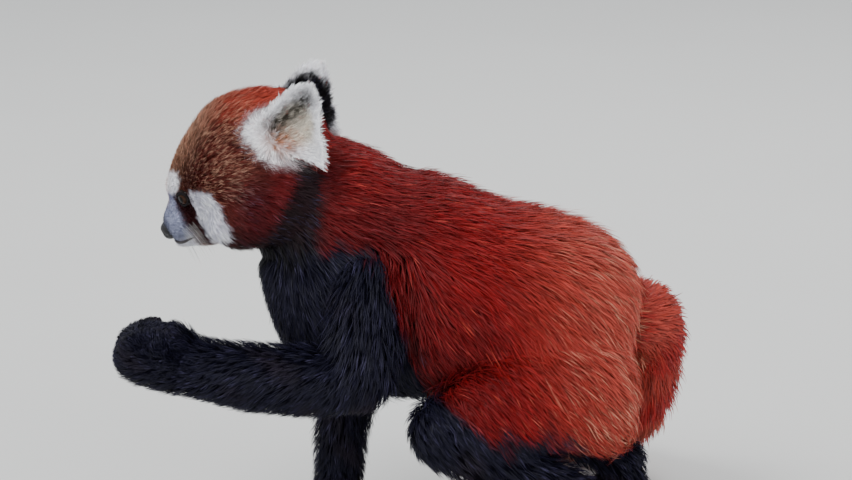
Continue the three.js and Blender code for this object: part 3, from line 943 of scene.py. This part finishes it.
class PANDA_OT_skin(bpy.types.Operator):
    """Melts the body's forms into one skin and paints the coat's markings on it, darkened by painted shade
    under the coat
    """

    bl_idname = "panda.skin"
    bl_label = "Skin"

    def execute(self, context):
        sizes = context.scene.panda_sizes
        grids = [loft(table, across)[0] for table, across, *_ in forms()]
        grids += [ear_grid(sign)[0] for sign in (1, -1)]
        rough = new_mesh("rough", *join_grids(grids))
        melt = rough.modifiers.new("Melt", "REMESH")
        melt.mode = "VOXEL"
        melt.voxel_size = sizes.voxel
        even = rough.modifiers.new("Even", "SMOOTH")
        even.factor = 0.5
        even.iterations = EVEN_ROUNDS
        graph = context.evaluated_depsgraph_get()
        mesh = bpy.data.meshes.new_from_object(rough.evaluated_get(graph))
        bpy.data.objects.remove(rough)
        skin = bpy.data.objects.new("skin", mesh)
        mesh.name = "skin"
        context.scene.collection.objects.link(skin)
        points, faces, normals = skin_arrays(skin)
        if len(points) < FEWEST_POINTS:
            raise RuntimeError("the skin came out empty")
        points = self.sockets(points)
        points[:, 2] = np.maximum(points[:, 2], SKIN_FLOOR_GAP)
        mesh.vertices.foreach_set("co", ((points + ORIGIN) * MM).astype(np.float32).ravel())
        mesh.update()
        mesh.polygons.foreach_set("use_smooth", np.ones(len(mesh.polygons), bool))
        places, rows, charts = field_samples()
        outer = gap_to(places, points) < SAMPLE_REACH
        places, rows, charts = places[outer], rows[outer], charts[outer]
        fields = blend_fields(points, places, rows)
        MADE.update(points=points, faces=faces, normals=normals, fields=fields, samples=(places, charts))
        colour = coat_colour(points, fields, normals)
        # painted shade: the skin under the coat is painted darker, as shade between the hairs
        paint(skin, colour * painted_root_shade(colour)[:, None])
        grain = dict(scale=900, amount=0.8, bump=0.6, Specular_IOR_Level=0.06)
        fur = material("skin_under_coat", attribute="Coat", roughness=0.9, **grain)
        flesh = [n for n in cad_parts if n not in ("eye_left", "eye_right", "nose")]
        finish_piece(skin, fur, flesh)
        return {"FINISHED"}

    @staticmethod
    def sockets(points):
        """Presses the skin in behind each eye: inside a cone about the way that the eye looks, no point stays
        further from the eye's centre than just under its surface."""
        for sign in (1, -1):
            centre = eye_at(sign)
            away = points - centre
            far = np.linalg.norm(away, axis=1, keepdims=True)
            angle = np.arccos(np.clip(away @ look_of(sign) / far[:, 0], -1, 1))
            amount = smooth(1.0, 0.72, angle)[:, None] * (far < 2 * EYE_RADIUS)
            points = points + away / far * (np.minimum(far, EYE_RADIUS - 2) - far) * amount
        return points


COAT_GROUPS = (
    # name, record slot, share of the tufts, hair width against the body's
    ("coat_face", "fur_orange", 0.125, 0.5),
    ("coat_cheeks", "fur_orange", 0.115, 0.62),
    ("coat_ears", "fur_white", 0.060, 0.5),
    ("coat_neck", "fur_red", 0.090, 0.95),
    ("coat_back", "fur_red", 0.120, 1.05),
    ("coat_flanks", "fur_red", 0.100, 1.05),
    ("coat_forelegs", "fur_black", 0.135, 0.85),
    ("coat_thighs", "fur_red", 0.095, 1.0),
    ("coat_hindlegs", "fur_black", 0.070, 0.85),
    ("coat_tail", "fur_red", 0.090, 1.25),
)


# Where the coat pieces meet
FLANK_TOP = 190.0
NECK_BACK = -28.0
FACE_FROM = 22.0  # ahead of the head's origin
FORE_FROM_HIND = -10.0


def strongest(fields):
    """The name of the part that is most present at each point."""
    shares = np.stack([fields[:, FIELDS.index(part)] for part in PARTS], 1)
    return np.array(PARTS)[shares.argmax(1)]


def group_of(points, fields):
    """Which coat piece each skin point belongs to, by its strongest part and its place."""
    part = strongest(fields)
    y, z = points[:, 1], points[:, 2]
    ahead = (points - HEAD_AT) @ AHEAD
    head = np.isin(part, ("head", "muzzle"))
    group = np.full(len(points), "coat_back", dtype=object)
    group[(part == "trunk") & (z < FLANK_TOP)] = "coat_flanks"
    group[(part == "trunk") & (y < NECK_BACK)] = "coat_neck"
    group[head] = "coat_cheeks"
    group[head & (ahead > FACE_FROM)] = "coat_face"
    group[part == "ear"] = "coat_ears"
    group[(part == "arm") | ((part == "paw") & (y < FORE_FROM_HIND))] = "coat_forelegs"
    group[part == "thigh"] = "coat_thighs"
    group[(part == "shank") | ((part == "paw") & (y >= FORE_FROM_HIND))] = "coat_hindlegs"
    group[part == "tail"] = "coat_tail"
    return group


# The bare pad of the nose, in the head's directions, and the opening of an eye
PAD_AT = np.array([0, 82.5, -13])
PAD_REACH = np.array([11.5, 7, 9])
OPENING_AHEAD = 6.0
OPENING_RADIUS = 7.6


def bare_places(p):
    """Where no hair grows: under the nose pad, on the eyes and over their openings."""
    local = (p - HEAD_AT) @ HEAD_AXES.T
    bare = np.linalg.norm((local - PAD_AT) / PAD_REACH, axis=1) < 1
    for sign in (1, -1):
        opening = eye_at(sign) + look_of(sign) * OPENING_AHEAD
        bare |= np.linalg.norm(p - opening, axis=1) < OPENING_RADIUS
    return bare


def standing_off(p):
    """How far each point lies outside the skin, by the plane of the nearest of every fifth skin point."""
    points, normals = MADE["points"][::5], MADE["normals"][::5]
    nearest = nearest_to(p, points)
    return ((p - points[nearest]) * normals[nearest]).sum(1)


def pick_roots(name, count, rng):
    """Random places on one piece's share of the skin, closer together where the coat is short. Gives the
    place, the normal and the fields of each."""
    points, faces, normals, fields = (MADE[k] for k in ("points", "faces", "normals", "fields"))
    chosen = np.nonzero((MADE["group"][faces[:, 0]] == name) & ~MADE["bare"][faces[:, 0]])[0]
    tri = points[faces[chosen]]
    area = np.linalg.norm(np.cross(tri[:, 1] - tri[:, 0], tri[:, 2] - tri[:, 0]), axis=1) / 2
    depth = fields[faces[chosen], FIELDS.index("coat")].mean(1)
    density = area / np.maximum(depth, LEAST_DEPTH) ** CROWDING
    pick = rng.choice(len(chosen), count, p=density / density.sum())
    a, b = rng.random((2, count))
    flip = a + b > 1
    a[flip], b[flip] = 1 - a[flip], 1 - b[flip]
    mix = np.stack([1 - a - b, a, b], 1)[..., None]
    corner = faces[chosen[pick]]
    root, normal, field = ((values[corner] * mix).sum(1) for values in (points, normals, fields))
    return root, unit(normal), field


def on_plane(way, normal):
    """The part of each way that lies on the skin's plane."""
    return way - normal * (way * normal).sum(1, keepdims=True)


def tuft_points(root, normal, lie, coat, length, width, rng):
    """The seven corners of each flat tapered hair. It leaves its root at the coat's lift, bends over towards
    the lie of the coat and ends in a point: root + L (s lie cos a + s n sin a - bend s^2 n). It sinks by
    s^2 as far as its tip would stand off a skin that curves away, and a tuft's tips are drawn together. Its
    width lies across the lie, near the skin's plane."""
    count = len(root)
    rise = np.clip(coat / length, *RISE_LIMITS) * rng.uniform(*RISE_SHARE, count)
    clump = np.repeat(np.arange(count), TUFT_HAIRS)
    n = len(clump)
    up, lift = normal[clump], rise[clump]
    start = root[clump] + rng.normal(0, 0.8 + 0.04 * coat[clump, None], (n, 3)) * (1 - np.abs(up) * 0.8)
    start -= up * ROOT_DEPTH
    reach = length[clump] * rng.uniform(*HAIR_SHARE, n)
    pull = (root[clump] - start) * TIP_PULL
    way = unit(lie[clump] + rng.normal(0, HAIR_SCATTER, (n, 3)))
    s = HAIR_STOPS[None]
    up_by = (1.75 * s - 0.75 * s**2) * (lift * reach)[:, None]
    over_by = s**1.15 * (np.sqrt(1 - lift**2) * reach)[:, None]
    middle = start[:, None] + up[:, None] * up_by[..., None] + way[:, None] * over_by[..., None]
    middle += pull[:, None] * (s**1.5)[..., None]
    over = length * np.sqrt(1 - rise**2)
    sink = np.clip(standing_off(root + lie * over[:, None]), -0.5 * coat, 1.2 * over)
    middle -= up[:, None] * (sink[clump][:, None] * s**2)[..., None]
    middle[..., 2] = np.maximum(middle[..., 2], HAIR_FLOOR_GAP)
    roll = rng.normal(0, ROLL_SCATTER, n)[:, None]
    across = unit(np.cross(up, way)) * np.cos(roll) + up * np.sin(roll)
    wide = width * (0.6 + 0.4 * np.clip(coat[clump] / 14, 0, 1)) * rng.uniform(0.75, 1.25, n)
    half = across[:, None] * (wide[:, None] * HAIR_TAPER)[..., None] / 2
    sides = np.stack([middle[:, :3] - half, middle[:, :3] + half], 2).reshape(n, 6, 3)
    return np.concatenate([sides, middle[:, 3:]], 1), clump


def tuft_colours(root, normal, lie, length, field, clump, rng):
    """Each hair's colours from root to tip: the marking at the middle of the tuft, lighter or darker by tuft,
    with painted shade at the root, and on some tufts a lighter tip: the coat's own pale tips on the brow and
    rump, and painted highlights, coral on the red and violet on the black."""
    count, n, part = len(root), len(clump), strongest(field)
    colour = coat_colour(root + lie * (length * 0.45)[:, None], field, normal)
    light = colour.mean(1)
    y, height = side_view(root).T
    grizzled = (part == "head") * smooth(0.30, 0.05, light) * smooth(-116, -134, y) * smooth(256, 270, height)
    rump = smooth(60, 160, root[:, 1]) * (part != "tail")
    # tip colours: the coat's own pale tips on the brow and rump, painted highlights in coral on the red and
    # violet on the black
    pale_and_highlight_tip_colour = lay(np.tile(CORAL_PAINTED_HIGHLIGHT, (count, 1)), PALE_TIP, np.maximum(grizzled, rump))
    pale_and_highlight_tip_colour = lay(np.tile(VIOLET_PAINTED_HIGHLIGHT, (count, 1)), pale_and_highlight_tip_colour, smooth(0.012, 0.05, light))
    chance = 0.035 + 0.34 * grizzled + 0.16 * rump + 0.10 * smooth(0.012, 0.006, light)
    pale_and_highlight_tips = (rng.random(count) < chance) * rng.uniform(0.3, 0.8, count)
    spread = 0.26 + 0.16 * grizzled
    value = (1 + rng.uniform(-1, 1, count) * spread) * (1 + 0.14 * wobble(root, 18, 61))
    speckled = (part == "muzzle") * (rng.random(count) < 0.22)
    colour = colour * (value * (1 - 0.6 * speckled))[:, None]
    # painted shade: each hair is painted darker at its root, deep in the coat, and lighter towards its tip
    foot = painted_root_shade(colour)[clump][:, None]
    up = np.array([0, 0, 0.6, 0.6, 0.95, 0.95, 1.0])[None]
    # how far each hair is painted towards its tip colour: a pale tip, or a painted highlight
    bright = pale_and_highlight_tips[clump][:, None] * np.array([0, 0, 0.1, 0.1, 0.8, 0.8, 1.0])[None]
    each = colour[clump][:, None] * (foot + (1.12 - foot) * up)[..., None]
    each = each * rng.uniform(0.92, 1.08, (n, 1, 1))
    each = each + (pale_and_highlight_tip_colour[clump][:, None] - each) * bright[..., None]
    return np.clip(each, 0.001, 0.95).reshape(-1, 3)


def grow_tufts(name, count, width, hair_length, rng):
    """One coat piece: tufts of three hairs, each hair five triangles, with its colours and its map."""
    root, normal, field = pick_roots(name, count, rng)
    lie = unit(on_plane(field[:, :3], normal) + rng.normal(0, LIE_SCATTER, (count, 3)))
    lie = unit(on_plane(lie, normal))
    coat = field[:, FIELDS.index("coat")] * hair_length
    length = np.maximum(coat * rng.uniform(*LENGTH_SHARE, count), SHORTEST)
    corners, clump = tuft_points(root, normal, lie, coat, length, width, rng)
    pattern = np.array([[0, 1, 3], [0, 3, 2], [2, 3, 5], [2, 5, 4], [4, 5, 6]])
    tris = (np.arange(len(clump))[:, None, None] * 7 + pattern[None]).reshape(-1, 3)
    made = new_mesh(name, corners.reshape(-1, 3), tris, tidy=False)
    paint(made, tuft_colours(root, normal, lie, length, field, clump, rng))
    add_coat_map(made, root, clump)
    return made


def add_coat_map(obj, root, clump):
    """The map OFBake: each tuft is a small patch at its root's place on the forms' unrolled sheet. The place
    is the nearest sample's, moved on by the offset from it along the sheet."""
    places, charts = MADE["samples"]
    nearest = nearest_to(root, places)
    gap = root - places[nearest]
    nudge = np.stack([gap[:, 0] + gap[:, 2] * 0.37, gap[:, 1] - gap[:, 2] * 0.21], 1) * 0.0009
    uv = (charts[nearest] + np.clip(nudge, -0.006, 0.006))[clump]
    hair = np.array([[0, 0], [1, 0], [0, 0.38], [1, 0.38], [0.1, 0.74], [0.9, 0.74], [0.5, 1]])
    per_vertex = (uv[:, None] + (hair[None] - 0.5) * TUFT_PATCH).reshape(-1, 2)
    corners = np.empty(len(obj.data.loops), np.int32)
    obj.data.loops.foreach_get("vertex_index", corners)
    layer = obj.data.uv_layers.new(name="OFBake")
    layer.data.foreach_set("uv", np.clip(per_vertex[corners], 0, 1).astype(np.float32).ravel())


class PANDA_OT_coat(bpy.types.Operator):
    """Grows the coat: overlapping tufts over the skin, in the coat's lie and markings"""

    bl_idname = "panda.coat"
    bl_label = "Coat"

    def execute(self, context):
        if "points" not in MADE:
            raise RuntimeError("the skin comes before the coat")
        sizes = context.scene.panda_sizes
        rng = np.random.default_rng(SEED)
        MADE["group"] = group_of(MADE["points"], MADE["fields"])
        MADE["bare"] = bare_places(MADE["points"])
        grain = dict(scale=1400, amount=0.3, Specular_IOR_Level=0.18)
        hair = material("coat_hair", attribute="Coat", roughness=0.55, **grain)
        for name, slot, share, width in COAT_GROUPS:
            count = min(int(sizes.tufts * share), TUFT_LIMIT)
            coat = grow_tufts(name, count, sizes.hair_width / MM * width, sizes.hair_length, rng)
            finish_piece(coat, hair)
        return {"FINISHED"}


def ball_grid(centre, radius, axis, rings=25, sides=32):
    """A ball with its poles on the axis: rings at equal angles from it."""
    axis = unit(axis)
    side = unit(np.cross(axis, [0.3, 0.2, 0.9]))
    over = np.cross(axis, side)
    fall = np.linspace(0, np.pi, rings)[:, None, None]
    turn = np.linspace(0, 2 * np.pi, sides, endpoint=False)[None, :, None]
    ring = np.cos(turn) * side + np.sin(turn) * over
    return centre + radius * (np.sin(fall) * ring - np.cos(fall) * axis)


class PANDA_OT_eyes(bpy.types.Operator):
    """Builds the two eyes and the lids round them"""

    bl_idname = "panda.eyes"
    bl_label = "Eyes and lids"

    def execute(self, context):
        colours = context.scene.panda_colours
        iris_colour = np.array(colours.eye)
        gloss = dict(roughness=0.1, Specular_IOR_Level=0.08, Coat_Weight=0.07, Coat_Roughness=0.02)
        wet = material("eye_wet", attribute="Iris", scale=1500, amount=0.5, **gloss)
        grain = dict(roughness=0.7, scale=1200, amount=0.4, bump=0.1, Specular_IOR_Level=0.12)
        rim = material("lid_skin", colour=(0.006, 0.004, 0.005), **grain)
        for sign, side in ((1, "left"), (-1, "right")):
            centre, look = eye_at(sign), look_of(sign)
            points = ball_grid(centre, EYE_RADIUS - 0.25, look)
            bulge = np.clip(unit(points - centre) @ look - 0.8, 0, 1)[..., None] * 4
            points = points + look * bulge
            eye = new_mesh(f"eyeball_{side}", points.reshape(-1, 3), ring_quads(*points.shape[:2]))
            place = np.empty(len(eye.data.vertices) * 3, np.float32)
            eye.data.vertices.foreach_get("co", place)
            turn = unit(place.reshape(-1, 3) / MM - ORIGIN - centre) @ look
            bright = 0.3 * (1 - smooth(0.80, 0.86, turn)) + smooth(0.80, 0.9, turn)
            pupil = smooth(0.955, 0.965, turn)
            paint(eye, iris_colour * (bright * (1 - pupil))[:, None] + 0.001, "Iris")
            finish_piece(eye, wet, [f"eye_{side}"])
            lids = new_mesh(f"eyelids_{side}", *self.lids(centre, look))
            finish_piece(lids, rim)
        return {"FINISHED"}

    @staticmethod
    def lids(centre, look):
        """A ring of lid round the eye: an almond path on the eyeball, carrying a rounded fold. The path's
        angle from the look is wider across than upright, and the upper half hangs lower."""
        turn = np.linspace(0, 2 * np.pi, 49)[:-1]
        level = unit(np.cross(look, UP))
        upright = np.cross(level, look)
        wide = 0.82 - 0.02 * np.cos(2 * turn)
        tall = np.where(np.sin(turn) > 0, 0.50, 0.58)
        way = (np.cos(turn) * np.sin(wide))[:, None] * level
        way = way + (np.sin(turn) * np.sin(tall))[:, None] * upright
        way = way + look * np.sqrt(np.maximum(1 - (way**2).sum(1), 0))[:, None]
        path = centre + way * (EYE_RADIUS + 0.3)
        away = unit(way - look * (way @ look)[:, None])
        thick = 0.6 + 0.3 * np.maximum(np.sin(turn), 0)
        ring = tube(path + 0.8 * away * thick[:, None], 1.5 * away, look, thick, 12)
        closed = np.concatenate([ring, ring[:1]], 0)
        return closed.reshape(-1, 3), ring_quads(*closed.shape[:2])


class PANDA_OT_nose(bpy.types.Operator):
    """Builds the nose pad with its nostrils, and the line of the lips"""

    bl_idname = "panda.nose"
    bl_label = "Nose and lips"

    def execute(self, context):
        colour = tuple(context.scene.panda_colours.nose)
        grain = dict(roughness=0.4, scale=2600, amount=0.5, bump=0.5, Specular_IOR_Level=0.4)
        damp = material("nose_leather", colour=colour, **grain)
        finish_piece(new_mesh("nose_pad", *self.pad()), damp, ["nose"])
        grain = dict(roughness=0.5, scale=1500, amount=0.4, bump=0.4)
        lip = material("lip_skin", colour=(0.016, 0.012, 0.014), **grain)
        finish_piece(new_mesh("lips", *self.lips()), lip)
        return {"FINISHED"}

    @staticmethod
    def pad():
        """A rounded block, wider above, with two dents that curl outward for the nostrils and a groove
        between them: superellipse rings along the nose, sunk by Gaussians."""
        v = np.linspace(0, 1, 40)[:, None]
        turn = np.linspace(0, 2 * np.pi, 72, endpoint=False)[None]
        fall = np.pi * v
        size = np.sin(fall) ** 0.75
        c, s = np.cos(turn), np.sin(turn)
        x = 10.2 * size * np.sign(c) * np.abs(c) ** 0.85 * (1 + 0.10 * s)
        u = np.where(s > 0, 7.2, 8.2) * size * np.sign(s) * np.abs(s) ** 0.9
        f = -7.0 * np.cos(fall)
        hole = np.exp(-(((np.abs(x) - 5.2) / 1.9) ** 2) - ((u + 0.6) / 1.7) ** 2) * (f > 0)
        slit = np.exp(-(((np.abs(x) - 7.6) / 1.7) ** 2) - ((u + 2.6) / 1.2) ** 2) * (f > -2)
        groove = np.exp(-((x / 0.9) ** 2)) * (f > 0) * smooth(2, -3, u)
        f = f - 4.2 * hole - 1.6 * slit - 1.0 * groove
        points = HEAD_AT + x[..., None] * LEFT + (81.5 + f)[..., None] * AHEAD + (-13.0 + u)[..., None] * UP
        return points.reshape(-1, 3), ring_quads(*points.shape[:2])

    @staticmethod
    def lips():
        """A thin tube along the mouth: from one corner round the front of the muzzle to the other, dropping
        in the middle from the nose."""
        t = np.linspace(-1, 1, 61)
        x = 20.5 * np.sin(t * 1.35)
        f = 55 + 26.5 * np.cos(t * 1.35) ** 0.8
        u = -23.4 - 2.6 * t**2 + 0.9 * np.cos(t * 6)
        path = HEAD_AT + x[:, None] * LEFT + f[:, None] * AHEAD + u[:, None] * UP
        along = unit(np.gradient(path, axis=0))
        side = unit(np.cross(along, UP))
        ring = tube(path, side, np.cross(side, along), 1.15 * (1 - t**8) ** 0.5, 10)
        return ring.reshape(-1, 3), ring_quads(*ring.shape[:2])


# A claw's half width, reach above and reach below at its root, base, bend and tip. It has no coat
CLAW_SIZES = ((0, 0, 0, 0), (2.6, 3.2, 3.2, 0), (1.9, 2.4, 2.4, 0), (0, 0, 0, 0))


class PANDA_OT_claws(bpy.types.Operator):
    """Builds the claws: five on each foot but the lifted paw, curved and tapered"""

    bl_idname = "panda.claws"
    bl_label = "Claws"

    def execute(self, context):
        colour = tuple(context.scene.panda_colours.claw)
        horn = material("claw_horn", colour=colour, roughness=0.3, scale=700, amount=0.5, Coat_Weight=0.3)
        for name, toes in TOES.items():
            if name == "paw_left":
                continue  # the lifted paw's claws lie buried in the fur of its palm
            grids = []
            for points, _ in toes:
                rows = [(*at, *size) for at, size in zip(points[1:], CLAW_SIZES)]
                grids.append(loft(rows, FRONT, 22, 14, sunk=0.0)[0])
            finish_piece(new_mesh(f"claws_{name}", *join_grids(grids)), horn)
        return {"FINISHED"}


class PANDA_OT_whiskers(bpy.types.Operator):
    """Builds the whiskers of the muzzle, brow and chin"""

    bl_idname = "panda.whiskers"
    bl_label = "Whiskers"

    def execute(self, context):
        longest = context.scene.panda_sizes.whisker_length / MM
        rng = np.random.default_rng(SEED + 1)
        pale = material("whisker", colour=(0.78, 0.76, 0.74), roughness=0.35, scale=500, amount=0.2)
        grids = []
        for sign in (1, -1):
            for k in range(12):
                row, column = divmod(k, 4)
                start = on_head(sign * (19 - 0.6 * column), 61 + 3.2 * column, -10 - 4.5 * row)
                way = unit(sign * 0.5 * LEFT - 0.4 * AHEAD - (0.7 + 0.15 * row) * UP)
                grids.append(self.hair(start, way, longest * rng.uniform(0.45, 0.9), rng))
            for k in range(5):
                start = on_head(sign * (20 + 2 * k), 60 - 2 * k, 21 + 1.2 * k)
                way = unit(sign * 0.35 * LEFT + 0.75 * AHEAD + (0.35 + 0.1 * k) * UP)
                grids.append(self.hair(start, way, longest * rng.uniform(0.5, 0.8), rng))
        for k in range(18):
            start = on_head(rng.uniform(-11, 11), rng.uniform(60, 76), -30)
            way = unit(rng.uniform(-0.3, 0.3) * LEFT - 0.1 * AHEAD - UP)
            grids.append(self.hair(start, way, longest * rng.uniform(0.22, 0.42), rng))
        finish_piece(new_mesh("whiskers", *join_grids(grids)), pale)
        return {"FINISHED"}

    @staticmethod
    def hair(start, way, length, rng):
        """A round hair that sags as the square of its length and thins to its tip."""
        s = np.linspace(0, 1, 10)
        sag = np.array([0, 0, -1.0]) * length * rng.uniform(0.12, 0.3)
        path = start + (s * length)[:, None] * way + (s**2)[:, None] * sag
        side = unit(np.cross(way, [0.1, 0.2, 1]))
        radius = 0.10 * (1 - s) + 0.02
        radius[[0, -1]] = 0
        return tube(path, side, np.cross(way, side), radius, 4)


class PANDA_OT_stage(bpy.types.Operator):
    """Builds the pale floor, the studio light and the camera"""

    bl_idname = "panda.stage"
    bl_label = "Stage"

    def execute(self, context):
        scene = context.scene
        lines = 25
        x, y = np.meshgrid(*[np.linspace(-6000, 6000, lines)] * 2)
        points = np.stack([x, y, np.zeros_like(x)], -1).reshape(-1, 3) - ORIGIN
        i, j = np.meshgrid(*[np.arange(lines - 1)] * 2, indexing="ij")
        start = (i * lines + j).ravel()
        quads = np.stack([start, start + 1, start + lines + 1, start + lines], 1)
        floor = new_mesh("floor", points, quads, tidy=False)
        colour = tuple(scene.panda_colours.floor)
        floor.data.materials.append(material("floor_plain", colour, roughness=0.85, scale=3, amount=0.06))
        world = bpy.data.worlds.new("studio")
        world.use_nodes = True
        sky = world.node_tree.nodes["Background"].inputs
        sky["Color"].default_value = (0.92, 0.95, 1.0, 1)
        sky["Strength"].default_value = 0.85
        scene.world = world
        self.lamp("key", (1.5, -1.3, 2.3), 1.6, 62)
        self.lamp("fill", (2.2, 1.6, 1.3), 2.0, 34)
        self.lamp("rim", (-1.6, 0.4, 2.2), 1.6, 38)
        self.camera(scene)
        return {"FINISHED"}

    @staticmethod
    def lamp(name, at, size, power):
        """A square soft light that faces the middle of the animal."""
        data = bpy.data.lights.new(name, "AREA")
        data.size = size
        data.energy = power
        made = bpy.data.objects.new(name, data)
        made.location = at
        aim = np.array([0.1, 0.0, 0.2]) - np.array(at)
        made.rotation_euler = (
            math.atan2(math.hypot(aim[0], aim[1]), -aim[2]),
            0,
            math.atan2(aim[1], aim[0]) - math.pi / 2,
        )
        bpy.context.scene.collection.objects.link(made)

    @staticmethod
    def camera(scene):
        """The photo's view: from the animal's left and 12 degrees up, with its crop."""
        lift, far, view_width = math.radians(12), 4.0, 0.6646
        target = (np.array([0, 13.65, 236.0]) + ORIGIN) * MM
        data = bpy.data.cameras.new("camera")
        data.sensor_width = 36
        data.lens = data.sensor_width * far / view_width
        data.clip_end = 60
        made = bpy.data.objects.new("camera", data)
        made.location = target + far * np.array([math.cos(lift), 0, math.sin(lift)])
        made.rotation_euler = (math.pi / 2 - lift, 0, math.pi / 2)
        scene.collection.objects.link(made)
        scene.camera = made


class PANDA_PT_panel(bpy.types.Panel):
    """Lists the pieces and their sizes in the sidebar"""

    bl_idname = "PANDA_PT_panel"
    bl_label = "Red panda"
    bl_space_type = "VIEW_3D"
    bl_region_type = "UI"
    bl_category = "Red panda"

    def draw(self, context):
        for group in (context.scene.panda_sizes, context.scene.panda_colours):
            for name in group.__annotations__:
                self.layout.prop(group, name)
        for operator in OPERATORS:
            self.layout.operator(operator.bl_idname)


OPERATORS = (
    PANDA_OT_skin,
    PANDA_OT_coat,
    PANDA_OT_eyes,
    PANDA_OT_nose,
    PANDA_OT_claws,
    PANDA_OT_whiskers,
    PANDA_OT_stage,
)
CLASSES = (PandaSizes, PandaColours, *OPERATORS, PANDA_PT_panel)


def register():
    """Registers the classes and hangs the settings on the scene."""
    for made in CLASSES:
        bpy.utils.register_class(made)
    bpy.types.Scene.panda_sizes = bpy.props.PointerProperty(type=PandaSizes)
    bpy.types.Scene.panda_colours = bpy.props.PointerProperty(type=PandaColours)


def unregister():
    """Takes the settings and classes away again."""
    del bpy.types.Scene.panda_sizes
    del bpy.types.Scene.panda_colours
    for made in reversed(CLASSES):
        bpy.utils.unregister_class(made)


def main():
    """Builds every piece in order."""
    register()
    bpy.ops.panda.skin()
    bpy.ops.panda.coat()
    bpy.ops.panda.eyes()
    bpy.ops.panda.nose()
    bpy.ops.panda.claws()
    bpy.ops.panda.whiskers()
    bpy.ops.panda.stage()


if __name__ == "__main__":
    main()
